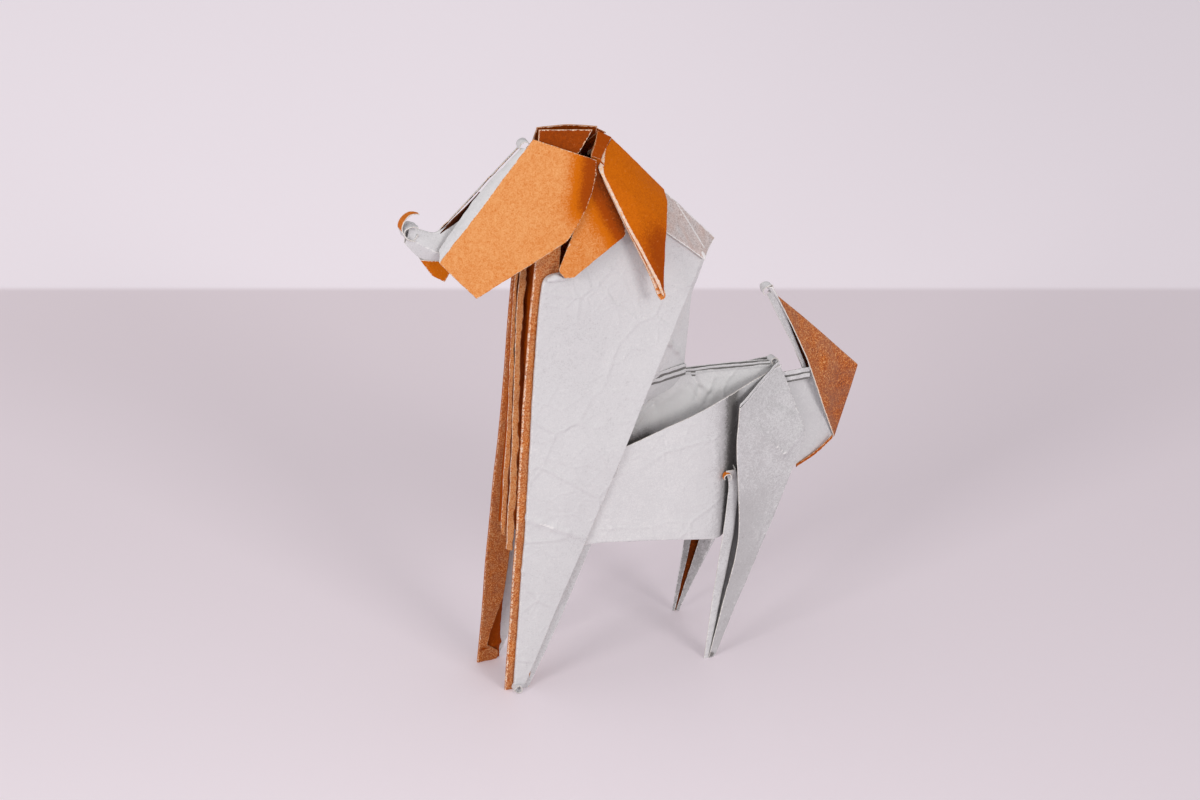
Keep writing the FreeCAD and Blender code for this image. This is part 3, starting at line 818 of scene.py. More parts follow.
    def front_wrap(self, side: Side) -> Run:
        """Brown layer round the front of chest and leg: stripe, ridge and inner wall.

        The right foot ends in a flared shoe; the left one tapers.
        """
        p = self.posture
        right = side is Side.RIGHT
        low = self.pleat_ends[right]
        levels = np.array([self.chest_top, (self.chest_top + p.flank_height) / 2,
                           p.flank_height, low + 0.6, low / 2, 4.6, 2.4, 1.3, 0.0])
        widths = self.medial_widths if right else self.medial_widths[:5] + self.left_widths
        ridge = self.behind(levels, -self.stripe_width, self.stripe_depth, side)
        tucked = self.behind(levels, self.stripe_under + self.tuck, p.fold + 0.02, side)
        hidden = self.behind(levels, self.stripe_under, self.stripe_depth, side)
        medial = ridge + shift(widths) + inward(self.medial_insets, side)
        return brown([tucked, hidden, ridge, ridge + inward(p.fold, side), medial],
                     (0, side, 0), panel=1, ruffle=1.6, folds=(2, 3), bend=0.5, torn=0.3,
                     # the right wrap's lower tone and darker inner side paint the shade of the
                     # far leg
                     tint=0.55, worn=0.5 if right else 1.2, tone=0.05 if right else 0.2,
                     inner_tone=-0.75 if right else -0.4,
                     creases=marked(side, self.shoe_mark) if right else ())

    def between_ridges(self, levels: Array, share: Array, inset: Array) -> Array:
        """Points a share of the way from the left to the right front ridge.

        Args:
            levels: heights of the points.
            share: shares of the way.
            inset: how far behind the line between the ridges.

        Returns:
            The points.
        """
        left, right = [self.behind(levels, -self.stripe_width, self.stripe_depth, side)
                       for side in Side]
        return between(left, right, share[:, None]) + shift(inset)

    def pleat(self, shares: tuple[Values, ...], end: float, lean: float,
              **looks: object) -> Run:
        """One knife pleat of the chest: a strip that slants back from its front ridge.

        Its near edge lies back from the ridge by the slant times its width, so that a
        narrow cleft stays open beside it.

        Args:
            shares: shares of its near edge and of its front ridge, from the top down.
            end: height of its torn lower end.
            lean: how much higher the end is at its ridge.
            looks: looks of the run.

        Returns:
            The pleat.
        """
        levels = np.array([*self.pleat_levels, end])
        lifted = np.array([*self.pleat_levels, end + lean])
        near, ridge = [np.array([*row, row[-1]]) for row in shares]
        span = ridge - near
        edge = self.between_ridges(levels, near + 0.6 * span, 0.6 * self.slant * span)
        front = self.between_ridges(lifted, ridge, 0.0 * ridge)
        half = self.between_ridges(levels, near + 0.8 * span, 0.3 * self.slant * span - 0.06)
        back = self.between_ridges(lifted, ridge + 0.05, 0.0 * ridge + 0.45)
        return brown([edge, half, front, back], (-1, -1, 0), folds=(2,), bend=2.0, soft=0.12,
                     torn=0.35, tint=0.5, inner_tone=-1.0, **looks)

    def cleft(self) -> Run:
        """Bottom of the clefts between the pleats, painted dark as shade."""
        levels = np.array([*self.pleat_levels[:-1], 20.6])
        last = np.array(self.cleft_end)
        depth = 0.8 * (1.0 - last) / 0.461
        rows = [self.between_ridges(levels, 0.0 * last + 0.17, 0.0 * last + 1.9),
                self.between_ridges(levels, 0.0 * last + 0.55, 0.5 * depth + 0.9),
                self.between_ridges(levels, last + depth / self.slant, depth)]
        return hollow(rows, -0.8, facing=(-1, -1, 0), bend=2.0)

    def nape(self) -> Run:
        """Inner layer of the neck with the nape ridge, down to the back."""
        p = self.posture
        top = p.crest_tip_height - 2.2
        joint = p.back_height - 0.7
        levels = np.array([top, between(top, joint, 0.3), joint, p.back_height - 1.7])
        stations = p.crest_tip - self.nape_set - np.array([0.0, self.nape_lean])
        stations = [*stations, p.back - 0.1, p.back - 1.0]
        lifts = np.array([0.0, 0.0, 2.4, 1.0 - self.nape_tuck])

        def half(side: Side) -> list[Array]:
            """Wall and ridge of one half."""
            edge = self.rear_edge(levels + lifts, side)
            front = self.front_edge(levels + lifts, side)
            share = self.nape_reach / (edge[:, :1] - front[:, :1])
            wall = between(edge, front, share) + inward([0.12, 0.12, 0.12, 0.9], side)
            return [wall, at(stations, p.fold, levels, side)]

        return Run(mirrored(half), (1, -1, 0), Face.PALE, Face.BROWN, ruffle=2.5, bend=1.0,
                   folds=(1, 2), tone=0.1, creases=marked(Side.LEFT, *self.nape_marks))

    def neck_layers(self, side: Side) -> list[Run]:
        """Two layers that lie across the back under the foot of the neck."""
        edge, front = self.rear_edge(39.5, side), self.front_edge(39.5, side)
        wall = between(edge, front, 4.2 / (edge[0] - front[0])) + inward(0.5, side)
        ridge = at(6.8, 1.0, 39.1, side)
        lip = np.stack([wall, between(wall, ridge, 0.5) + shift(0.0, 0.08), ridge])
        return stacked(lip, side, 0.38, 0.38, -0.1)

    def pieces(self) -> dict[str, list[Run]]:
        """The runs of both forelegs, of the chest and of the nape."""
        legs = {side.of("foreleg"): [self.roof(side), self.outer_panel(side),
                                     self.lining(side), self.front_wrap(side),
                                     self.collar_lip(side), self.toe_knob(side)]
                for side in Side}
        low, high = self.pleat_ends
        chest = [self.cleft(),
                 self.pleat(self.inner_pleat, low + 0.9, 0.2, ruffle=6.0, worn=2.2, tone=0.55),
                 self.pleat(self.outer_pleat, high + 1.1, 0.9, ruffle=4.0, worn=1.8, tone=0.4)]
        layers = [run for side in Side for run in self.neck_layers(side)]
        return legs | {"chest_pleats": chest, "nape": [self.nape(), *layers]}


# ---- trunk ------------------------------------------------------------------------------


@dataclass(frozen=True)
class Trunk(Part):
    """Flanks, belly folds, inner walls and back ridge as one folded run."""

    belly_fall: float = 2.7
    width: float = 10.2
    bend: float = 9.5
    bend_length: float = 3.0
    bend_inset: float = 2.7
    hollow_drop: float = 1.2
    hollow: float = 0.8
    wall_marks: Marks = (((-0.5, 32.2), (2.6, 34.5), 0.14, 0.30, 0.4),
                         ((2.6, 34.5), (6.5, 37.9), 0.14, 0.30, 0.2),
                         ((7.9, 37.3), (8.6, 35.6), 0.24, 0.30, 0.7),
                         ((8.6, 35.6), (7.9, 34.2), 0.24, 0.30, 0.3),
                         ((8.9, 35.9), (10.1, 34.9), -0.22, 0.28),
                         ((10.1, 34.9), (9.2, 33.7), 0.18, 0.25, 0.5),
                         ((7.3, 36.2), (8.3, 33.9), 0.16, 0.25, 0.6),
                         ((10.6, 36.5), (9.6, 35.0), -0.16, 0.25),
                         ((3.2, 33.8), (5.9, 35.2), 0.12, 0.60),
                         # these three rows paint tone: shade at the bottom of the hollow, then
                         # light over the inner walls and a highlight along a bulge
                         ((-2.4, 29.4), (1.4, 30.6), 0.0, 1.15, 0.0, 2.3),
                         ((4.0, 34.0), (16.0, 35.3), 0.0, 5.0, 0.0, -0.55),
                         ((3.0, 33.5), (6.2, 34.9), 0.12, 1.1, 0.0, -0.8))
    # painted shade on the flank: a dark band where it turns in beside the thigh, and a broad
    # one ahead of it
    flank_painted_shade: Marks = (((11.5, 36.5), (11.4, 17.0), 0.0, 1.5, 0.0, 2.0),
                          ((9.2, 36.0), (9.2, 17.0), 0.0, 3.2, 0.0, 0.4))

    def half(self, side: Side) -> list[Array]:
        """Rails of one half, from the flank's free edge to the back ridge."""
        p, wide = self.posture, self.width
        low = p.belly_height - self.belly_fall
        span = p.rump_height - p.flank_height
        edge = at([p.elbow - 6.2, p.elbow, p.back - 0.5, self.bend + 0.6, p.rump],
                  [wide - 1.0, wide, wide - 0.7, wide - 1.5, p.rump_width],
                  [p.flank_height - 3.0, p.flank_height, p.flank_height + 0.47 * span,
                   p.flank_height + 0.72 * span, p.rump_height - 0.1], side)
        belly = at([p.elbow - 7.4, p.elbow - 2.9, p.elbow + 5.1, self.bend,
                    self.bend + self.bend_length],
                   [wide - 1.5, wide - 0.5, wide, wide - 0.2, wide - 2 * self.bend_inset],
                   [p.belly_height, p.belly_height - 0.1,
                    p.belly_height - self.belly_fall / 2, low, low - 0.1], side)
        ridge = at([p.elbow, self.hollow, p.back, (p.back + p.rump) / 2, p.rump], p.fold,
                   [p.back_height - 2 * self.hollow_drop, p.back_height - self.hollow_drop,
                    p.back_height, (p.back_height + p.rump_height) / 2 - 0.15,
                    p.rump_height], side)
        return [edge, belly, belly + inward(p.fold, side), ridge]

    def run(self) -> Run:
        """The folded run, from the left flank's free edge to the right one's."""
        creases = []
        for side in Side:
            for rows, panels in ((self.wall_marks, (2, 4)), (self.flank_painted_shade, (0, 6))):
                creases += [Crease(*row, panels=panels, side=side) for row in rows]
        return Run(mirrored(self.half), folds=(1, 2, 3, 4, 5, 6), bend=0.9, tone=0.3,
                   creases=tuple(creases))

    def back_layers(self, side: Side) -> list[Run]:
        """Layers that lie along the back ridge up to the rump."""
        p = self.posture
        top = at([p.back + 0.1, (p.back + p.rump) / 2, p.rump - 1.2], 0.62,
                 [p.back_height + 0.2, p.back_height - 0.2, p.rump_height + 0.28], side)
        return stacked(top, side, 0.22, 0.3, 0.0)

    def pieces(self) -> dict[str, list[Run]]:
        """The runs of the trunk."""
        layers = [run for side in Side for run in self.back_layers(side)]
        return {"trunk": [self.run(), *layers]}


# ---- hind legs --------------------------------------------------------------------------


@dataclass(frozen=True)
class HindLegs(Part):
    """Thighs and shanks: outer panel, rear fold and inner wall of the trough."""

    toe: float = 8.1
    toe_width: float = 0.9
    track: float = 12.0
    hip: float = 11.8
    hip_drop: float = 2.4
    thigh_width: float = 11.2
    knee: float = 12.0
    knee_height: float = 17.5
    shin_height: float = 14.2
    buttock: float = 21.9
    buttock_height: float = 28.6
    hock: float = 19.7
    hock_height: float = 24.0
    rear_width: float = 7.6
    trough_height: float = 25.8
    trough_lead: float = 1.3
    trough_gap: float = 0.75
    trough_toe_lead: float = 0.55
    strip: Values = (0.3, 1.3, 1.4, 1.5, 1.4, 0.65)
    strip_depth: Values = (0.3, 2.4, 2.4, 2.4, 1.8, 0.15)
    slit: Values = (0.6, 1.9, 2.3, 2.5, 2.4, 0.55)
    hem: Values = (0.2, 0.8, 1.0, 1.1, 1.1, 0.25)
    left_marks: Marks = (((16.4, 28.8), (18.4, 26.6), 0.26, 0.3, 0.9),
                         ((18.4, 26.6), (21.0, 28.6), 0.20, 0.35, 0.5),
                         ((13.4, 31.6), (16.4, 28.8), 0.20, 0.4, 0.3),
                         ((17.2, 33.6), (20.6, 31.4), -0.20, 0.4, 0.3),
                         ((14.5, 33.0), (19.5, 30.5), 0.08, 0.8),
                         ((13.2, 24.0), (17.0, 22.6), 0.06, 0.7),
                         # these two rows only paint shade: over the shank and in a dot at the
                         # toe
                         ((13.5, 20.0), (8.8, 3.0), 0.0, 3.5, 0.0, 0.4),
                         ((8.0, 0.6), (8.5, 0.5), 0.0, 0.3, 0.0, 2.4))
    # a broad band of painted shade over the far leg's panels
    right_painted_shade: tuple = ((12.0, 34.0), (8.5, 0.0), 0.0, 30.0, 0.0, 0.95, (0, 3))

    def rails(self, side: Side) -> tuple[Array, Array, Array]:
        """Front edge, rear fold and inner wall of one leg, from the rump to the toe."""
        p, thigh, rear = self.posture, self.thigh_width, self.rear_width
        rump, knee, shin = p.rump_height, self.knee_height, self.shin_height
        front = at([self.hip, self.hip - 0.4, self.knee - 0.1, self.knee, self.knee - 0.45,
                    self.toe],
                   [thigh - 0.8, thigh, thigh + 0.6, thigh + 0.8, thigh + 0.9, self.track],
                   [rump - self.hip_drop, rump - self.hip_drop - 5.0, knee + 4.5, knee, shin,
                    0.0], side)
        fold = at([p.rump - 0.3, self.buttock, self.hock, self.hock - 2.9, self.hock - 4.7,
                   self.toe + self.toe_width],
                  [p.rump_width - 0.4, rear - 0.4, rear + 0.8, rear + 2.6, rear + 3.4,
                   self.track - 0.2],
                  [rump + 0.15, self.buttock_height, self.hock_height, knee, shin, 0.0], side)
        wide, lead = thigh - 2 * self.trough_gap, self.hip - self.trough_lead
        wall = at([p.rump - 1.6, lead, lead + 0.5, lead - 0.2, lead - 0.8,
                   self.toe - self.trough_toe_lead],
                  [p.rump_width - 1.2, wide - 0.1, wide, wide + 0.4, wide + 0.8,
                   self.track - 0.3],
                  [rump - 2.6, self.trough_height, self.trough_height - 2.0, knee, shin, 0.0],
                  side)
        return front, fold, wall

    def left_leg(self) -> list[Run]:
        """Outer shell, inside and front strip of the left leg's trough."""
        side, looks = Side.LEFT, {"bend": 1.3, "worn": 1.2, "folds": (1,)}
        front, fold, wall = self.rails(side)
        strip = wall + shift(self.strip)
        deep = strip + inward(self.strip_depth, side) + shift(0.25)
        under = fold + inward(self.posture.fold, side)
        # the shell's dark inner side and the inside run's tones paint the shade within the
        # trough
        return [Run([front, fold, under], tone=-0.35, inner_tone=-1.0,
                    creases=marked(side, *self.left_marks), **looks),
                Run([under, deep], bend=1.3, tone=-0.8, inner_tone=-0.8),
                Run([row[1:] for row in (deep, strip, wall)], (1, 0, 0), tone=-0.2,
                    inner_tone=-0.2, **looks)]

    def right_leg(self) -> list[Run]:
        """The right leg as one run, which stands a little further forward."""
        side = Side.RIGHT
        front, fold, wall = self.rails(side)
        under = fold + inward(self.posture.fold, side)
        front[2:5, 0] -= (0.8, 1.4, 1.45)
        wall[:, 0] = front[:, 0]
        fold[4:, 0] += (1.1, -0.3)
        hem = front + shift(self.hem) + inward(self.posture.fold, side)
        # the dark inner tone and the broad band paint the shade that this far leg stands in
        return [Run([hem, front, fold, under, wall + shift(self.slit)], (0, side, 0),
                    Face.PALE, Face.BROWN, panel=1, bend=1.3, folds=(1, 2, 3), tone=-0.1,
                    inner_tone=-1.4, creases=marked(side, self.right_painted_shade))]

    def thigh_layers(self, side: Side) -> list[Run]:
        """Layers along the upper edge of the thigh."""
        front, fold, _ = self.rails(side)
        upper = between(front[0], fold[0], column(0.0, 0.35, 0.7, 1.0))
        return stacked(upper - inward(0.16, side) + shift(0.0, 0.3), side, 0.26, 0.24, -0.1)

    def rump_roll(self) -> Run:
        """Small roll of paper where the layers end on the rump."""
        centre = at(self.posture.rump - 0.75, 0.0, self.posture.rump_height + 0.35)
        return rolled(centre, 0.42, 1.5, (-60, 250, 9), 0.03, (0, 0, 1), ruffle=3.0, soft=0.2,
                      bend=0.15)

    def shin_curl(self) -> Run:
        """Copper curl at the upper end of the left trough's strip."""
        spot = at(self.hip - self.trough_lead + 0.1, self.thigh_width - 2 * self.trough_gap,
                  self.trough_height - 0.7)
        return rolled(spot, 0.46, 0.9, (-60, 220, 8), 0.04, (0, 0, 1), inner=Face.BROWN,
                      ruffle=3.0, soft=0.1, bend=0.1, inner_tone=0.2)

    def pieces(self) -> dict[str, list[Run]]:
        """The runs of each hind leg."""
        legs = {side.of("hind_leg"): [*leg, *self.thigh_layers(side)]
                for side, leg in zip(Side, (self.left_leg(), self.right_leg()))}
        legs[Side.LEFT.of("hind_leg")] += [self.rump_roll(), self.shin_curl()]
        return legs


# ---- tail -------------------------------------------------------------------------------


@dataclass(frozen=True)
class Tail(Part):
    """Tail folded outside itself: two brown flaps on a ridge, and the pale base inside."""

    point: float = 17.7
    point_rise: float = 10.1
    corner: float = 30.2
    corner_drop: float = 2.4
    low: float = 26.9
    low_drop: float = 11.6
    low_width: float = 2.0
    gape: float = 4.6
    gape_station: float = 22.1
    gape_rise: float = 0.8
    dock: float = 20.2
    dock_depth: float = 12.0
    dock_drop: float = 2.2
    dock_width: float = 3.6
    curl: float = 0.68
    # painted shade over the lower part of each flap
    shade: tuple = ((28.2, 33.5), (27.0, 26.0), 0.0, 2.0, 0.0, 0.45)
    slit: tuple[Values, ...] = ((17.35, -0.45, 46.6), (19.0, -1.0, 42.8),
                                (20.6, -1.2, 39.4), (22.4, -1.3, 35.4))
    slit_widths: Values = (1.2, 0.95, 0.6, 0.4)
    base_top: tuple[Values, ...] = ((18.8, -0.55, 35.65), (20.6, -1.2, 36.0),
                                    (22.75, -1.8, 36.45))
    base_foot: tuple[Values, ...] = ((21.3, -2.05, 23.3), (24.0, -2.1, 24.7),
                                     (26.4, -1.5, 26.1))

    def half(self, side: Side) -> list[Array]:
        """Free edge and ridge of one flap, and on into one half of the base."""
        p, fold = self.posture, self.posture.fold
        low_height = p.rump_height - self.low_drop
        point_height = p.rump_height + self.point_rise
        top = p.rump_height - self.dock_drop
        point = at(self.point - 0.35, fold, point_height + 0.3, side)
        corner = at(self.corner, fold, p.rump_height - self.corner_drop, side)
        low = at(self.low, self.low_width, low_height, side)
        gape = at(self.gape_station, self.gape, p.rump_height + self.gape_rise, side)
        ridge = [point, between(point, corner, 0.35), between(point, corner, 0.7), corner,
                 corner - shift(fold), at(self.low - 2.4, fold, top + 0.2, side),
                 at(self.dock - 2.8, self.dock_width / 2, top - 0.3, side)]
        edge = [at(self.point + 0.4, 4 * fold, point_height + 0.3, side), gape,
                between(gape, low, 0.55) - inward(0.2, side), low,
                low - shift(fold) + inward(fold, side),
                at(self.low - 2.9, self.dock_width, low_height - 1.4, side),
                at(self.dock - 0.6, self.dock_width + 0.6, top - self.dock_depth, side)]
        return [np.stack(edge), np.stack(ridge)]

    def flaps(self) -> Run:
        """Flaps and base as one run, which turns inside out at the lower fold."""
        shades = [marked(side, self.shade)[0] for side in Side]
        return Run(mirrored(self.half), outer=Face.BROWN, folds=(1, 2), cross=(3, 4),
                   bend=1.0, worn=0.3, torn=3.2, tone=-0.05, inner_tone=0.1, tint=0.75,
                   creases=tuple(shades))

    def roll(self) -> Run:
        """Crumpled roll at the upper point of the tail, a short turn of the sheet."""
        centre = at(self.point - 0.15, 0.0, self.posture.rump_height + self.point_rise - 0.05)
        return rolled(centre, self.curl, 1.1, (-60, 230, 10), 0.03, (0.5, 0, -0.8),
                      ruffle=7.0, soft=0.1, bend=0.2, worn=2.0, inner_tone=-1.0)

    def inner_layer(self) -> list[Run]:
        """Pale layer inside the left flap, and the slit beside it, painted dark brown as
        shadow.
        """
        left, across = np.array(self.slit), shift(self.slit_widths)
        behind = left[1:] + inward(0.35, Side.LEFT)
        return [Run([left, left + across + inward(0.1, Side.LEFT)], tone=-0.5, ruffle=0.5,
                    worn=0.3),
                hollow([behind + across[1:] * 0.6, behind + across[1:] + shift(0.7)], -1.9,
                       ruffle=0.4)]

    def base_layers(self) -> list[Run]:
        """Layers stacked at the upper edge of the base, and the brown strip along its foot."""
        foot = np.array(self.base_foot)
        return [*stacked(np.array(self.base_top), Side.LEFT, 0.5, 0.3, -0.3),
                brown([foot, foot - shift(0.0, 0.4)], (0, -1, 0), tone=-0.5)]

    def pieces(self) -> dict[str, list[Run]]:
        """The runs of the tail."""
        return {"tail": [self.flaps(), self.roll(), *self.inner_layer(),
                         *self.base_layers()]}


# ---- head -------------------------------------------------------------------------------


@dataclass(frozen=True)
class Head(Part):
    """Faces, crown pocket, snout bridge, nose, chin and cheek flaps."""

    crown: float = -11.7
    crown_gap: float = 0.8
    crown_bow: float = 0.3
    crown_slot: float = 0.9
    crown_hem: float = 2.2
    crown_pocket: float = 2.6
    brow_lead: float = 0.8
    brow_drop: float = 0.9
    brow_width: float = 1.6
    temple: float = -5.7
    temple_drop: float = 3.9
    jowl: float = -9.8
    jowl_drop: float = 12.5
    jowl_width: float = 8.4
    jowl_bow: float = 0.95
    lip: float = -20.8
    lip_drop: float = 17.9
    muzzle: float = -24.5
    muzzle_drop: float = 13.5
    muzzle_width: float = 5.2
    bridge_lead: float = 1.3
    bridge_drop: float = 1.9
    bridge_rise: float = 2.5
    bridge_gape: Values = (0.0, 0.0, 0.1, 0.4, 1.2, 1.9)
    nose: float = -27.6
    nose_width: float = 2.8
    nose_depth: float = 3.4
    nose_lift: float = 1.1
    nose_curl: float = 1.5
    nose_curl_width: float = 2.0
    chin_drop: float = 2.6
    chin_width: float = 2.8
    cheek: float = -10.3
    cheek_drop: float = 16.8
    cheek_width: float = 9.4
    cheek_rear: float = -2.5
    cheek_rear_drop: float = 12.8
    cheek_top: float = -5.6
    cheek_top_drop: float = 5.9
    # painted shadow on the upper rear of the face
    face_painted_shadow: tuple = ((-5.6, 68.2), (-6.5, 63.4), 0.0, 2.1, 0.0, 1.5)
    cheek_marks: Marks = (((-9.9, 58.9), (-8.6, 58.4), 0.10, 0.25, 1.0),
                          # painted shadow of the ear on the cheek
                          ((-5.2, 66.0), (-2.2, 59.2), 0.0, 2.0, 0.0, 1.7))

    @property
    def nose_height(self) -> float:
        """Height of the snout ridge's lower end, where the nose begins."""
        return self.posture.crown_height - self.muzzle_drop + self.bridge_rise

    def on_face(self, station: Number, drop: Number, side: Side, depth: float = 0.0) -> Array:
        """Points of the flat face panel, which flares downward.

        The plane goes through brow, muzzle and jowl: half the width is the brow's plus
        forward * (station - brow) plus downward * (drop - brow).

        Args:
            station: station of the points.
            drop: how far they lie below the crown.
            side: half of the dog.
            depth: how far inside the panel they lie.

        Returns:
            The points.
        """
        brow = np.array([self.crown - self.brow_lead, self.brow_width / 2, self.brow_drop])
        ends = np.array([[self.muzzle, self.muzzle_width / 2, self.muzzle_drop],
                         [self.jowl, self.jowl_width / 2, self.jowl_drop]]) - brow
        forward, downward = np.linalg.solve(ends[:, ::2], ends[:, 1])
        half = (brow[1] + forward * (np.asarray(station) - brow[0])
                + downward * (np.asarray(drop) - brow[2]))
        return at(station, 2 * (half - depth), self.posture.crown_height - drop, side)

    def face(self, side: Side) -> Run:
        """Bright outer panel of the head, between its straight front and bowed rear edge."""
        back = self.brow_lead if side is Side.RIGHT else 0.0
        share = np.linspace(1.0, 0.0, 6)
        bow = self.jowl_bow * np.sin(math.pi * share)
        rear = np.vstack([self.on_face(between(self.jowl, self.temple, share) + bow,
                                       between(self.jowl_drop, self.temple_drop, share), side),
                          self.on_face(self.lip, self.lip_drop, side)])
        brow = self.on_face(self.crown - self.brow_lead + back, self.brow_drop + back, side)
        muzzle = self.on_face(self.muzzle, self.muzzle_drop, side)
        front = between(brow, muzzle, column(0.0, 0.1, 0.2, 0.3, 0.42, 0.55, 1.0))
        # a tone of 0.45 lifts the brown towards its light shade: painted sheen of the light on
        # this panel
        return Run([front, rear], (0, side, 0), Face.BROWN, rim=Face.TAN, bend=0.5, tone=0.45,
                   fullness=0.12, torn=0.7, creases=marked(side, self.face_painted_shadow))

    def bridge_top(self, share: Number) -> Array:
        """Points of the snout ridge, from brow to muzzle."""
        tall = self.posture.crown_height
        upper = at(self.crown - self.brow_lead - self.bridge_lead, 0, tall - self.bridge_drop)
        lower = at(self.muzzle + 0.6, 0, self.nose_height)
        return between(upper, lower, np.asarray(share, float)[..., None])

    def bridge(self) -> list[Run]:
        """Pale tube over the snout: two slopes that gape towards the nose, and its loop."""
        shares, runs = np.array([0.0, 0.25, 0.45, 0.6, 0.8, 1.0]), []
        for side in Side:
            upper = self.on_face(self.crown - self.brow_lead - 0.7, self.brow_drop + 0.8, side)
            lower = self.on_face(self.muzzle, self.muzzle_drop, side)
            foot = between(upper, lower, shares[:, None])
            top = self.bridge_top(shares) - inward(0.5 * self.posture.fold, side)
            crest = [top + shift(0.0, 0.12)]
            if side is Side.LEFT:
                top = between(top, foot, column(*self.bridge_gape) / 3.6) - inward(0.25, side)
                crest = []
            belly = between(foot, top, 0.6) - inward(0.18, side)
            # the slopes' brown insides are painted dark as shade
            runs.append(Run([foot, belly, top, *crest], (0, side, 0.5), inner=Face.BROWN,
                            inner_tone=-1.7, worn=1.3, ruffle=2.0, tone=0.05))
        # a brown slab painted dark as shade fills the gap under the ridge
        dark = self.bridge_top([0.5, 0.75, 0.99])
        runs.append(hollow([dark - inward(0.28, Side.LEFT) - shift(0.0, 0.12),
                            dark - inward(0.1, Side.LEFT) - shift(0.0, [0.2, 1.0, 1.5])],
                           -2.2))
        centre = at(self.crown - self.brow_lead - 0.95, 0.0, self.posture.crown_height - 1.75)
        return [*runs, rolled(centre, 0.62, 1.3, (20, 250, 9), 0.01, (0, 0, 1), ruffle=2.0,
                              soft=0.25, bend=0.2)]

    def pocket_half(self, side: Side) -> list[Array]:
        """Rim, foot and bottom of one of the pocket's two upright layers."""
        p, left = self.posture, side is Side.LEFT
        rear = p.crown_rear - (self.crown_slot if left else 0.0)
        low_rear = rear - 4.8 if left else rear + 0.3
        bow = 0.0 if left else self.crown_bow
        rim_drop = np.array([0.0, p.crown_fall / 2 - bow, p.crown_fall])
        rim = at([self.crown, (self.crown + rear) / 2, rear], self.crown_gap,
                 p.crown_height - rim_drop, side)
        stations = np.array([self.crown - 0.6, (self.crown + low_rear) / 2, low_rear])
        drop = (self.brow_drop + self.crown_hem
                + np.array([0.0, 0.5, 1.0]) * (self.temple_drop - self.brow_drop))
        return [rim, self.on_face(stations, drop, side, 0.05),
                at(stations + 0.3, p.fold, p.crown_height - drop - self.crown_pocket, side)]

    def pocket(self) -> Run:
        """Pocket along the top of the head: two upright layers that meet in its bottom."""
        return brown(mirrored(self.pocket_half), (0, -1, 0), torn=1.6, tone=-1.05,
                     inner_tone=-1.15)

    def crown_panel(self, side: Side) -> Run:
        """Deep brown panel between the pocket and the ear."""
        rows = [at([-4.85, -3.2], 1.7, [70.95, 69.9], side),
                at([-5.5, -4.2], 3.4, [69.9, 69.2], side),
                at([-6.35, -5.2], 5.2, [68.75, 68.2], side)]
        return brown(np.stack(rows, axis=1), (0, side, 0.3), bend=0.2, tone=-0.75,
                     inner_tone=-0.9, worn=0.4, ruffle=0.3)

    def cheek_flap(self, side: Side) -> Run:
        """Flap that hangs from the crest, passes behind the face and shows below it."""
        p, tall = self.posture, self.posture.crown_height
        top, crest = tall - p.crown_fall, p.crest(p.poll)[2]
        tip = at(self.cheek, self.cheek_width, tall - self.cheek_drop, side)
        corner = at(self.cheek_rear, self.cheek_width - 1.0, tall - self.cheek_rear_drop, side)
        temple = at(self.cheek_top, 4.6, tall - self.cheek_top_drop, side)
        fore = tip + shift(-0.8, 0.9) + inward(0.15, side)
        neck = at(p.poll - 0.7, 4.9, top - 5.6, side)
        front = [at(p.crown_rear, 0.0, top - 0.45, side),
                 at(p.crown_rear - 1.7, 3.2, top - 2.6, side),
                 temple, between(temple, fore, 0.45) + inward(0.1, side), fore, tip]
        rear = [at(p.poll, 0.0, crest - 0.35, side), at(p.poll - 2.1, 3.5, crest - 1.3, side),
                neck, between(neck, corner, 0.5), corner, tip + shift(1.1, -0.1)]
        # a tone of 0.33 lifts the brown towards its light shade: painted sheen
        return brown([np.stack(front), np.stack(rear)], (0, side, 0), bend=0.5, tone=0.33,
                     inner_tone=-0.6, worn=0.8, creases=marked(side, *self.cheek_marks))

    def nose_half(self, side: Side) -> list[Array]:
        """Keel, crease and upper edge of one half of the nose."""
        high, fold, deep = self.nose_height, self.posture.fold, self.nose_depth
        root = self.bridge_top(0.7) - inward(0.4 * fold, side) - shift(0.0, 1.3)
        rise = np.array([0.0, self.nose_lift - 0.2, self.nose_lift])
        top = at([self.muzzle + 0.2, self.nose + 1.3, self.nose + 0.3], fold, high + rise,
                 side)
        crease = at([self.muzzle + 2.0, self.muzzle + 0.5, self.nose + 1.4, self.nose],
                    [self.nose_width + 0.6, self.nose_width, 1.8, 0.9],
                    high + np.array([-1.8, -2.0, -0.7, 0.4]), side)
        keel = at([self.muzzle + 0.9, self.muzzle - 0.1, self.nose + 1.2, self.nose - 0.2],
                  [1.0, 0.8, 0.5, 0.3], high + np.array([-deep, -deep - 0.1, -2.4, -0.6]),
                  side)
        return [keel, crease, np.vstack([root, top])]

    def nose_cone(self) -> Run:
        """Pale boat-shaped tongue that leaves the muzzle under the snout ridge."""
        return Run(mirrored(self.nose_half), bend=0.6, soft=0.15, folds=(1, 2, 3, 4))

    def nose_tip(self) -> list[Run]:
        """Strip that curls up and back from the nose: pale below, brown on its upper part."""
        centre = at(self.nose + 0.8, 0, self.nose_height + 1.4)
        curl, width, looks = self.nose_curl, self.nose_curl_width, {"soft": 0.2, "bend": 0.5}
        return [rolled(centre, curl, width, (268, 188, 5), 0.02, (0, 0, -1), ruffle=3.0,
                       worn=1.6, **looks),
                rolled(centre, curl, width * 0.9, (192, 62, 7), 0.09, (-1, 0, 0),
                       outer=Face.BROWN, ruffle=2.5, worn=1.6, tone=0.1, **looks),
                rolled(centre + shift(-0.42, -0.62), 0.9, 1.8, (40, 330, 8), 0.03, (-1, 0, 0),
                       ruffle=6.0, **looks)]

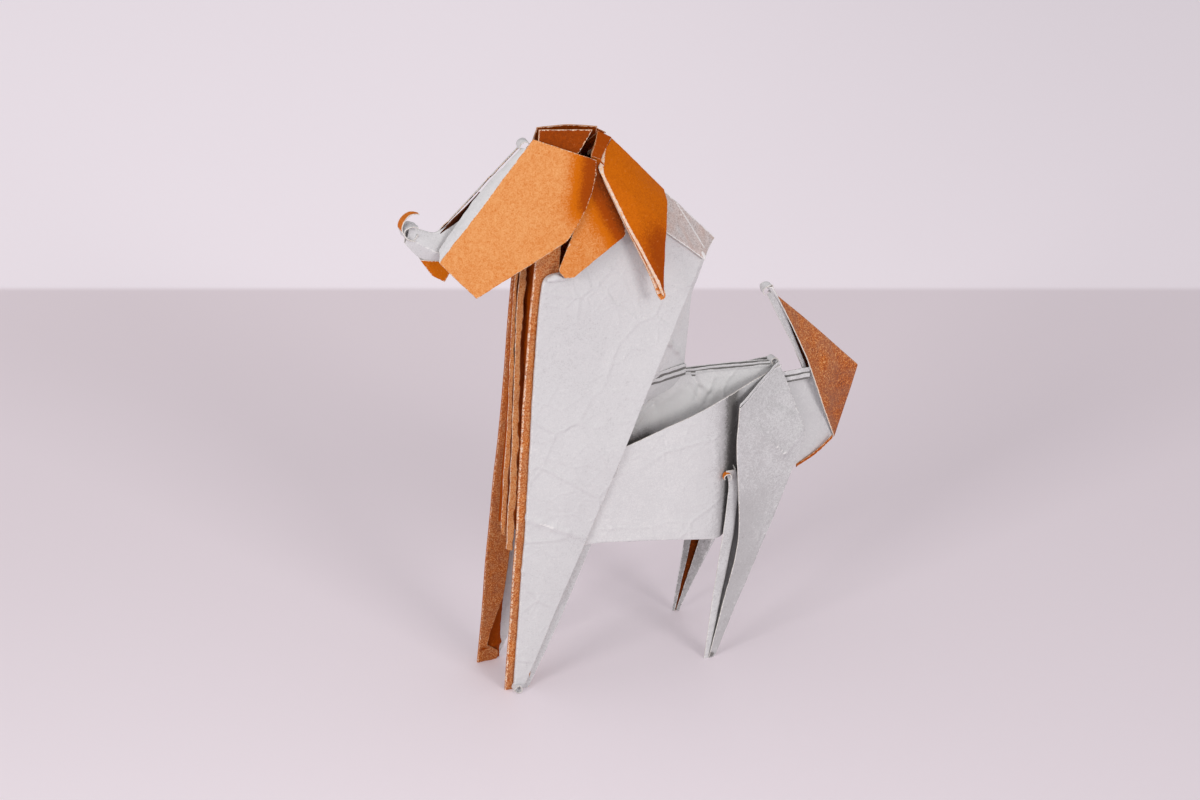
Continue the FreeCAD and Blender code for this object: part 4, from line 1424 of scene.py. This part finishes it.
    def chin_half(self, side: Side) -> list[Array]:
        """Upper and lower edge of one half of the chin."""
        base, drop = self.posture.crown_height - self.muzzle_drop, self.chin_drop
        upper = at([self.nose + 1.5, self.muzzle + 0.3, self.muzzle + 1.9],
                   [0.8, 1.6, self.chin_width], base - np.array([0.3, 0.5, 1.4]), side)
        lower = at([self.nose + 1.9, self.muzzle - 0.1, self.muzzle + 1.3], [0.3, 0.3, 0.6],
                   base - np.array([0.9, drop, drop + 0.9]), side)
        return [upper, lower]

    def chin(self) -> Run:
        """Lower jaw below the nose."""
        return Run(mirrored(self.chin_half), outer=Face.BROWN, soft=0.12, bend=0.3,
                   folds=(1, 2))

    def pieces(self) -> dict[str, list[Run]]:
        """The runs of faces and cheeks, of the crown pocket and of the muzzle."""
        pieces = {}
        for side in Side:
            pieces[side.of("face")] = [self.face(side)]
            pieces[side.of("cheek")] = [self.cheek_flap(side), self.crown_panel(side)]
        muzzle = [*self.bridge(), self.nose_cone(), *self.nose_tip(), self.chin()]
        return pieces | {"crown_pocket": [self.pocket()], "muzzle": muzzle}


# ---- ears -------------------------------------------------------------------------------


@dataclass(frozen=True)
class Ears(Part):
    """Hanging ears, each an outer layer set back from the rim of the under layer."""

    rear: float = 3.8
    front: float = -5.5
    front_width: float = 4.6
    front_drop: float = 4.9
    tip: float = 1.2
    tip_drop: float = 20.4
    spread: float = 12.8
    clear: float = 0.55
    bow: float = 0.3
    stand: float = 0.55
    lining_lead: Values = (0.0, 0.05, 0.2, 0.3, 0.5)
    # painted shade low on the ear
    low_painted_shade: tuple = ((1.0, 57.6), (1.4, 53.0), 0.0, 2.2, 0.0, 0.55)

    def rails(self, side: Side) -> tuple[Array, Array, Array]:
        """Front edge, middle and rear edge of an ear, from the crest to its tip."""
        p, tall = self.posture, self.posture.crown_height
        root, heel = [p.crest(station) - inward(0.1, side) + shift(0.0, 0.12)
                      for station in (p.poll, self.rear)]
        corner = at(self.front, self.front_width, tall - self.front_drop, side)
        tip = at(self.tip, self.spread, tall - self.tip_drop, side)
        knee = at(p.roof - 0.1, p.roof_width + 2 * self.clear, tall - p.roof_drop + 1.0, side)
        share = column(0.0, 0.3, 0.6, 0.85, 0.98)
        swell, out = np.sin(math.pi * share), -inward(1.0, side)
        front = np.vstack([root, between(root, corner, 0.45) - shift(0.25),
                           between(corner, tip, share) + self.stand * swell * out])
        rear = np.vstack([heel, between(heel, knee, 0.45) + shift(0.25, 0.3),
                          between(knee, tip, share) + self.bow * swell * (out - shift(1.0))])
        rear[-1] = tip
        full = np.minimum(1.0, np.linalg.norm(rear - front, axis=-1, keepdims=True) / 5.0)
        middle = between(front, rear, 0.5) + 1.6 * self.bow * full * out
        middle[0] = between(root, heel, 0.55)
        return front, middle, rear

    def outer(self, side: Side) -> Run:
        """Hanging outer layer of an ear, hemmed under along its front edge."""
        front, middle, rear = self.rails(side)
        hem = front + inward(self.posture.fold, side) + shift(0.55)
        hem[0] = between(front[0], rear[0], 0.07) + inward(0.1, side) - shift(0.0, 0.15)
        hem[-1] = front[-1] + inward(0.1, side)
        return brown([hem, front, middle, rear], (0, side, 0), panel=1, soft=0.24, bend=0.35,
                     folds=(1,), tone=-0.18, inner_tone=-0.3, worn=11.0, torn=0.4, fade=4.6,
                     creases=marked(side, self.low_painted_shade))

    def lining(self, side: Side) -> list[Run]:
        """Under layer of an ear, showing as a strip ahead of its front edge, and its tip."""
        front, middle, _ = self.rails(side)
        edge = front[2:] - shift(self.lining_lead) + inward(0.42, side)
        inside = (between(front[2:], middle[2:], column(0.5, 0.45, 0.4, 0.35, 1.0))
                  + inward(0.5, side))
        inside[-1] = edge[-1] + shift(1.0, 0.1)
        lobe = front[-1] + inward(0.46, side)
        left = np.stack([edge[-2] + inward(0.05, side), lobe + shift(-0.62, 0.35),
                         lobe + shift(-0.3, -0.55), lobe + shift(0.0, -0.85)])
        right = np.stack([edge[-2] + shift(0.6), lobe + shift(0.45, 0.2),
                          lobe + shift(0.6, -0.4), lobe + shift(0.45, -0.8)])
        return [brown([edge, inside], (0, side, 0), soft=0.2, bend=0.4, tone=0.3,
                      inner_tone=0.1, worn=1.5, torn=5.0, fade=FAR, ruffle=0.7),
                brown([left, right], (0, side, 0), bend=0.3, tone=0.25, inner_tone=0.1,
                      worn=0.5, torn=1.2)]

    def pieces(self) -> dict[str, list[Run]]:
        """The runs of each ear."""
        return {side.of("ear"): [self.outer(side), *self.lining(side)]
                for side in Side}


# ---- finishes ---------------------------------------------------------------------------


class Signal:
    """A shader socket that takes arithmetic: each sum or product is a node of its own."""

    def __init__(self, bench: "Bench", socket: bpy.types.NodeSocket) -> None:
        """Wrap a socket of the bench's node tree."""
        self.bench = bench
        self.socket = socket

    def math(self, operation: str, *others: "Signal | float") -> "Signal":
        """This value and others put through one Math node."""
        inputs = dict(enumerate((self, *others)))
        return self.bench.signal("ShaderNodeMath", 0, {"operation": operation}, inputs)

    def __add__(self, other: "Signal | float") -> "Signal":
        """This plus the other."""
        return self.math("ADD", other)

    __radd__ = __add__

    def __sub__(self, other: "Signal | float") -> "Signal":
        """This less the other."""
        return self.math("SUBTRACT", other)

    def __rsub__(self, other: float) -> "Signal":
        """The other less this."""
        return (self * -1.0) + other

    def __mul__(self, other: "Signal | float") -> "Signal":
        """This times the other."""
        return self.math("MULTIPLY", other)

    __rmul__ = __mul__

    def __truediv__(self, other: "Signal | float") -> "Signal":
        """This over the other."""
        return self.math("DIVIDE", other)

    def __rtruediv__(self, other: float) -> "Signal":
        """The other over this."""
        return self.math("POWER", -1.0) * other

    def __pow__(self, other: float) -> "Signal":
        """This to the power of the other."""
        return self.math("POWER", other)

    def within(self, low: float, high: float) -> "Signal":
        """0 below low, 1 above high and a smooth step between them."""
        return self.bench.signal("ShaderNodeMapRange", 0,
                                 {"interpolation_type": "SMOOTHSTEP"},
                                 {0: self, 1: low, 2: high})

    def most(self, other: "Signal | float") -> "Signal":
        """The greater of the two."""
        return self.math("MAXIMUM", other)


class Bench:
    """A material's node tree, with one way to make each node."""

    def __init__(self, name: str) -> None:
        """Start an empty material of the given name."""
        self.material = bpy.data.materials.new(name)
        self.material.use_nodes = True
        self.tree = self.material.node_tree
        self.tree.nodes.clear()

    def node(self, kind: str, settings: dict[str, object] | None = None,
             inputs: dict[str | int, object] | None = None) -> bpy.types.Node:
        """Make a node.

        Args:
            kind: type of the node.
            settings: its properties by name.
            inputs: values or signals for its sockets, by name or place.

        Returns:
            The node.
        """
        node = self.tree.nodes.new(kind)
        for name, value in (settings or {}).items():
            setattr(node, name, value)
        for name, value in (inputs or {}).items():
            if isinstance(value, Signal):
                self.tree.links.new(value.socket, node.inputs[name])
            else:
                node.inputs[name].default_value = value
        return node

    def signal(self, kind: str, output: int | str, settings: dict[str, object] | None = None,
               inputs: dict[str | int, object] | None = None) -> Signal:
        """Make a node and take one of its outputs, by name or place."""
        return Signal(self, self.node(kind, settings, inputs).outputs[output])

    def spot(self) -> Signal:
        """The object coordinates of the point that is shaded."""
        return self.signal("ShaderNodeTexCoord", "Object")

    def place(self, scale: Triple, turn: float = 0.0) -> Signal:
        """Object coordinates, scaled and turned about the axis across the dog."""
        return self.signal("ShaderNodeMapping", 0, None,
                           {"Vector": self.spot(), "Rotation": (0.0, turn, 0.0),
                            "Scale": scale})

    def reach(self, direction: Triple) -> Signal:
        """How far the shaded point lies along a direction, in metres."""
        return self.signal("ShaderNodeVectorMath", "Value", {"operation": "DOT_PRODUCT"},
                           {0: self.spot(), 1: direction})

    def noise(self, size: float, detail: float = 2.0, rough: float = 0.5,
              stretch: Triple = (1.0, 1.0, 1.0),
              turn: float = 0.0, twist: float = 0.0) -> Signal:
        """Noise with features of the given size.

        Args:
            size: size of the features in millimetres.
            detail: number of finer octaves.
            rough: strength of the finer octaves.
            stretch: how much longer the features are along each axis.
            turn: angle of the stretch about the axis across the dog.
            twist: distortion of the noise.

        Returns:
            The noise, from 0 to 1 and mostly near a half.
        """
        scale = tuple(1.0 / (size * MM * s) for s in stretch)
        return self.signal("ShaderNodeTexNoise", 0, {"noise_dimensions": "3D"},
                           {"Vector": self.place(scale, turn), "Scale": 1.0,
                            "Detail": detail, "Roughness": rough, "Distortion": twist})

    def facets(self, size: float, width: float) -> Signal:
        """Straight crease lines between cells of the given size in millimetres."""
        cells = self.signal("ShaderNodeTexVoronoi", 0, {"feature": "DISTANCE_TO_EDGE"},
                            {"Vector": self.place((1.0 / (size * MM),) * 3, 0.4),
                             "Scale": 1.0})
        return 1.0 - cells.within(0.0, width)

    def mark(self, name: str) -> Signal:
        """A number that the mesh carries at its corners."""
        return self.signal("ShaderNodeAttribute", "Fac", {"attribute_name": name})

    def blend(self, a: Signal | Colour, b: Signal | Colour, share: Signal | float) -> Signal:
        """Two colours mixed by a share."""
        return self.signal("ShaderNodeMix", 2, {"data_type": "RGBA"}, {0: share, 6: a, 7: b})

    def surface(self, colour: Signal, gloss: Signal | float, specular: float, height: Signal,
                relief: tuple[float, float], glow: Signal | None = None
                ) -> bpy.types.Material:
        """Close the material with one bumped surface.

        Args:
            colour: base colour.
            gloss: roughness.
            specular: level of the shine.
            height: relief of the surface.
            relief: strength of the relief, and its depth in millimetres.
            glow: light that the surface gives off.

        Returns:
            The material.
        """
        strength, depth = relief
        bump = self.signal("ShaderNodeBump", 0, None,
                           {"Strength": strength, "Distance": depth * MM, "Height": height})
        inputs = {"Base Color": colour, "Roughness": gloss, "Normal": bump,
                  "Specular IOR Level": specular}
        if glow:
            inputs |= {"Emission Color": glow, "Emission Strength": 1.0}
        shader = self.signal("ShaderNodeBsdfPrincipled", 0, None, inputs)
        self.node("ShaderNodeOutputMaterial", None, {"Surface": shader})
        return self.material


def shade(red: int, green: int, blue: int) -> Colour:
    """Linear colour from its three values out of 255."""
    values = np.array([red, green, blue]) / 255.0
    linear = np.where(values <= 0.04045, values / 12.92, ((values + 0.055) / 1.055) ** 2.4)
    return (*[float(x) for x in linear], 1.0)


@dataclass(frozen=True)
class PaperFace:
    """One face of the sheet: its ink, and the fibres that show through where it is worn."""

    name: str
    ink: Colour
    deep: Colour
    light: Colour
    dirt_and_painted_shade: Colour
    stain: Colour
    core: Colour
    fleck: Colour
    fleck_share: float
    roughness: float
    specular: float
    fold_wear: float
    edge_wear: float
    grain: float
    mottle: float
    crumple: float
    dust: float

    @staticmethod
    def cover(worn: Signal, spots: Signal) -> Signal:
        """How far wear reaches: in spots where it is light, closed where it is heavy."""
        return worn.math("MINIMUM", 1.0) * spots + (worn - 1.0).most(0.0) * 0.5

    def made(self) -> bpy.types.Material:
        """The finish as a material.

        The ink wanders between its deep and light shades over some millimetres and again
        over tenths of one, and the tone that the mesh carries moves it further; far below zero
        it turns to the darkest colour, which paints the shade deep between layers. Flecks of
        bare fibre show all over it. Near folds and edges, and along cracks, the ink is worn
        through to the core where a noise is high enough.

        Returns:
            The material.
        """
        bench = Bench(self.name)
        cloud = bench.noise(9.0, 3.0, 0.55)
        patch = bench.noise(2.2, 3.0, 0.6, twist=0.6)
        felt = bench.noise(0.42, 3.0, 0.65)
        dust = bench.noise(0.16, 2.0, 0.6)
        strand = bench.noise(0.10, 2.0, 0.55, (9.0, 3.0, 2.0), 0.5, 0.4)
        cross = bench.noise(0.11, 2.0, 0.55, (2.0, 3.0, 8.0), 0.35, 0.4)
        names = ("tone", "worn", "torn", "fold", "edge", "crack", "tint")
        tone, worn, torn, fold, edge, crack, tint = [bench.mark(name) for name in names]

        drift = ((cloud - 0.5) * 0.9 + (patch - 0.5) * 0.7) * self.mottle
        drift = drift + (felt - 0.5) * (tint + self.dust * 0.6)
        drift = drift + (dust - 0.5) * (tint * 7.0 + self.dust) + tone
        colour = bench.blend(self.ink, self.light, drift.within(0.0, 0.75))
        colour = bench.blend(colour, self.deep, (drift * -1.0).within(0.0, 0.75))
        # far below zero the tone reaches the darkest colour: painted shade deep between layers
        colour = bench.blend(colour, self.dirt_and_painted_shade, (drift * -1.0).within(0.8, 1.8))
        colour = bench.blend(colour, self.stain, tint * (0.7 + (patch - 0.5) * 1.6))

        flecks = (felt * 0.45 + dust * 0.25 + strand * 0.3).within(0.56, 0.68)
        colour = bench.blend(colour, self.fleck, flecks * (tint * 0.9 + self.fleck_share))

        ragged = patch * 0.35 + felt * 0.4 + dust * 0.25
        spots = (dust * 0.55 + felt * 0.45).within(0.42, 0.60)
        near_fold = (self.cover(worn, spots) * self.fold_wear - fold).within(0.0, 0.05)
        rubbed = (self.cover(torn, spots) * self.edge_wear - edge).within(0.0, 0.04)
        cracked = (crack * (ragged + 0.15)).within(0.18, 0.45)
        bare = near_fold.most(rubbed).most(cracked)
        rough = (strand * 0.4 + cross * 0.2 + dust * 0.4).within(0.42, 0.60)
        core = bench.blend(self.core, self.light, rough * 0.75)
        colour = bench.blend(colour, core, bare)

        ridge = bench.facets(7.5, 0.06) * 0.7 + bench.facets(3.1, 0.10) * 0.3
        ridge = ridge * cloud.within(0.40, 0.60) * self.crumple
        height = (cloud * 0.10 + patch * 0.16 + felt * 0.30 + dust * 0.12
                  + strand * 0.22 + cross * 0.2 - bare * 0.10 + ridge)
        gloss = (felt - 0.5) * 0.2 + bare * 0.12 + self.roughness
        return bench.surface(colour, gloss, self.specular, height, (1.0, self.grain))


@dataclass(frozen=True)
class PaperCore:
    """The cut edge of the sheet, bare fibre between the two inks."""

    name: str
    fibre: Colour
    dirt_and_painted_shade: Colour

    def made(self) -> bpy.types.Material:
        """The finish as a material: two noises mix fibre and grime."""
        bench = Bench(self.name)
        felt = bench.noise(0.5, 3.0, 0.6)
        dust = bench.noise(0.12, 2.0, 0.6)
        grime = (felt * 0.6 + dust * 0.4).within(0.46, 0.66)
        colour = bench.blend(self.fibre, self.dirt_and_painted_shade, grime * 0.7)
        return bench.surface(colour, 0.9, 0.2, dust + felt, (0.8, 0.06))


# Each face's darkest colour paints the shade deep between layers; the cut edges' darker colour
# is real grime.
PALE = PaperFace("pale_side", ink=shade(214, 213, 214), deep=shade(188, 186, 187),
                 light=shade(226, 225, 225), dirt_and_painted_shade=shade(120, 118, 116),
                 stain=shade(196, 148, 124), core=shade(238, 235, 233),
                 fleck=shade(230, 228, 227), fleck_share=0.35, roughness=0.72, specular=0.30,
                 fold_wear=0.12, edge_wear=0.10, grain=0.10, mottle=0.7, crumple=1.1, dust=1.4)
BROWN = PaperFace("brown_side", ink=shade(208, 107, 4), deep=shade(160, 68, 2),
                  light=shade(238, 172, 110), dirt_and_painted_shade=shade(66, 28, 8),
                  stain=shade(150, 104, 84), core=shade(236, 218, 202),
                  fleck=shade(228, 166, 110), fleck_share=0.20, roughness=0.62, specular=0.06,
                  fold_wear=0.15, edge_wear=0.13, grain=0.10, mottle=0.25, crumple=0.15,
                  dust=0.8)
CUT = PaperCore("paper_core", shade(226, 222, 216), shade(176, 160, 146))
STAINED = PaperCore("stained_core", shade(196, 142, 98), shade(140, 76, 28))


# ---- studio -----------------------------------------------------------------------------


@dataclass(frozen=True)
class Lamp:
    """A soft square lamp, by its direction round the dog; metres, watts and degrees."""

    name: str
    azimuth: float
    colour: Triple
    pitch: float = 22.0
    away: float = 1.0
    size: float = 0.32
    power: float = 2.8

    def data(self) -> bpy.types.AreaLight:
        """The light itself, not yet hung."""
        data = bpy.data.lights.new(self.name, "AREA")
        data.shape = "SQUARE"
        data.size = self.size
        data.energy = self.power
        data.color = self.colour
        return data


@dataclass(frozen=True)
class Studio:
    """Pale table top, soft lamps and the camera.

    The table's colours change behind the dog, across the line of sight. For the camera it
    glows with painted light, and towards the lamps it is painted darker as shade. Its
    depths are in metres before the place where the wall begins.
    """

    place: Place
    azimuth: float = -21.0535
    pitch: float = 27.5
    distance: float = 325.0
    lens: float = 78.0
    target: Triple = (0.0, 10.7606, 30.0)
    lamps: tuple[Lamp, ...] = (Lamp("left_lamp", -63.0, (1.0, 0.985, 0.97)),
                               Lamp("right_lamp", 19.0, (1.0, 0.99, 0.98)))
    air: Colour = (1.0, 0.98, 1.0, 1.0)
    air_strength: float = 0.57
    table_size: float = 3.0
    table_steps: int = 9
    table_depth: float = 97.0
    seam: float = 0.0012
    table: Colour = shade(242, 232, 239)
    table_far: Colour = shade(228, 217, 224)
    table_front: Colour = shade(206, 197, 203)
    wall: Colour = shade(246, 237, 244)
    dark: Colour = (0.0, 0.0, 0.0, 1.0)
    glow_near: Colour = (0.300, 0.292, 0.307, 1.0)
    glow_mid: Colour = (0.075, 0.066, 0.067, 1.0)
    glow_far: Colour = (0.080, 0.066, 0.066, 1.0)
    glow_wall: Colour = (0.135, 0.125, 0.132, 1.0)

    @staticmethod
    def backward(azimuth: float, pitch: float) -> Array:
        """Direction from the target to a thing at an azimuth and a height, in degrees."""
        a, e = math.radians(azimuth), math.radians(pitch)
        return np.array([math.sin(a) * math.cos(e), -math.cos(a) * math.cos(e), math.sin(e)])

    def aim(self) -> Array:
        """The target in metres in the frame."""
        low, _ = self.place.corners()
        point = np.array(self.target) * MM
        point[0] += low[0] - self.place.curl_front * MM
        return point

    def hang(self, name: str, data: bpy.types.ID, back: Array,
             away: float) -> bpy.types.Object:
        """Hang a lamp or the camera so that it looks at the dog.

        Args:
            name: name of the object.
            data: the lamp or the camera.
            back: direction from the target to it.
            away: its distance from the target in metres.

        Returns:
            The object.
        """
        thing = bpy.data.objects.new(name, data)
        thing.location = Vector(self.aim() + back * away)
        thing.rotation_mode = "QUATERNION"
        thing.rotation_quaternion = Vector(-back).to_track_quat("-Z", "Y")
        bpy.context.scene.collection.objects.link(thing)
        return thing

    def paint(self) -> bpy.types.Material:
        """The table's finish, which glows a little with painted light for the camera only."""
        bench = Bench("table_paint")
        sight = -self.backward(self.azimuth, 0.0)
        edge = float(self.aim() @ sight) + self.table_depth * MM
        depth = bench.reach(tuple(sight))
        beyond = depth.within(edge - self.seam, edge + self.seam)
        colour = bench.blend(self.table, self.table_far, depth.within(edge - 0.35, edge))
        colour = bench.blend(colour, self.wall, beyond)
        seen = bench.signal("ShaderNodeLightPath", "Is Camera Ray")
        for kind in ("Is Glossy Ray", "Is Transmission Ray"):
            seen = seen.most(bench.signal("ShaderNodeLightPath", kind))
        # painted light for the camera, graded from the front of the table to the wall
        glow = bench.blend(self.glow_near, self.glow_mid,
                           depth.within(edge - 0.30, edge - 0.06))
        glow = bench.blend(glow, self.glow_far, depth.within(edge - 0.06, edge))
        glow = bench.blend(glow, self.glow_wall, beyond)
        # less painted light towards the right
        aside = bench.reach((sight[1], -sight[0], 0.0)).within(-0.05, 0.13)
        front = depth.within(edge - 0.40, edge - 0.20)
        glow = bench.blend(self.dark, glow, seen * front * (1.0 - aside * 0.75))
        # painted shade: the front of the table, towards the lamps, is darker for the camera
        colour = bench.blend(colour, self.table_front, seen * (1.0 - front))
        return bench.surface(colour, 0.5, 0.12, bench.noise(0.9, 4.0, 0.6), (0.3, 0.02), glow)

    def floor(self) -> None:
        """Lay the table top."""
        steps = self.table_steps
        line = np.linspace(-self.table_size, self.table_size, steps)
        x, y = np.meshgrid(line, line, indexing="ij")
        corners = np.stack([x, y, np.zeros_like(x)], axis=-1).reshape(-1, 3)
        index = np.arange(steps * steps).reshape(steps, steps)
        faces = np.stack([index[:-1, :-1], index[1:, :-1], index[1:, 1:], index[:-1, 1:]],
                         axis=-1).reshape(-1, 4)
        mesh = bpy.data.meshes.new("table_top")
        mesh.from_pydata(corners.tolist(), [], faces.tolist())
        mesh.materials.append(self.paint())
        floor = bpy.data.objects.new("table_top", mesh)
        bpy.context.scene.collection.objects.link(floor)

    def light(self) -> None:
        """Hang the lamps and give the world its plain fill."""
        for lamp in self.lamps:
            back = self.backward(lamp.azimuth, lamp.pitch)
            self.hang(lamp.name, lamp.data(), back, lamp.away)
        world = bpy.data.worlds.new("studio_air")
        world.use_nodes = True
        inputs = world.node_tree.nodes["Background"].inputs
        inputs[0].default_value = self.air
        inputs[1].default_value = self.air_strength
        bpy.context.scene.world = world

    def camera(self) -> None:
        """Set up the camera."""
        data = bpy.data.cameras.new("camera")
        data.lens = self.lens
        data.sensor_width = 36.0
        data.clip_start = 0.01
        data.clip_end = 20.0
        back = self.backward(self.azimuth, self.pitch)
        scene = bpy.context.scene
        scene.camera = self.hang("camera", data, back, self.distance * MM)
        scene.view_settings.view_transform = "Standard"

    def build(self) -> None:
        """Make the whole studio."""
        self.floor()
        self.light()
        self.camera()


def main() -> None:
    """Build the studio, then the dog's parts in order."""
    logging.basicConfig(level=logging.INFO, format="%(name)s: %(message)s")
    place = Place()
    Studio(place).build()
    maker = Maker(place, [finish.made() for finish in (PALE, BROWN, CUT, STAINED)])
    for part in (Forequarters(), Trunk(), HindLegs(), Tail(), Head(), Ears()):
        part.build(maker)


if __name__ == "__main__":
    main()
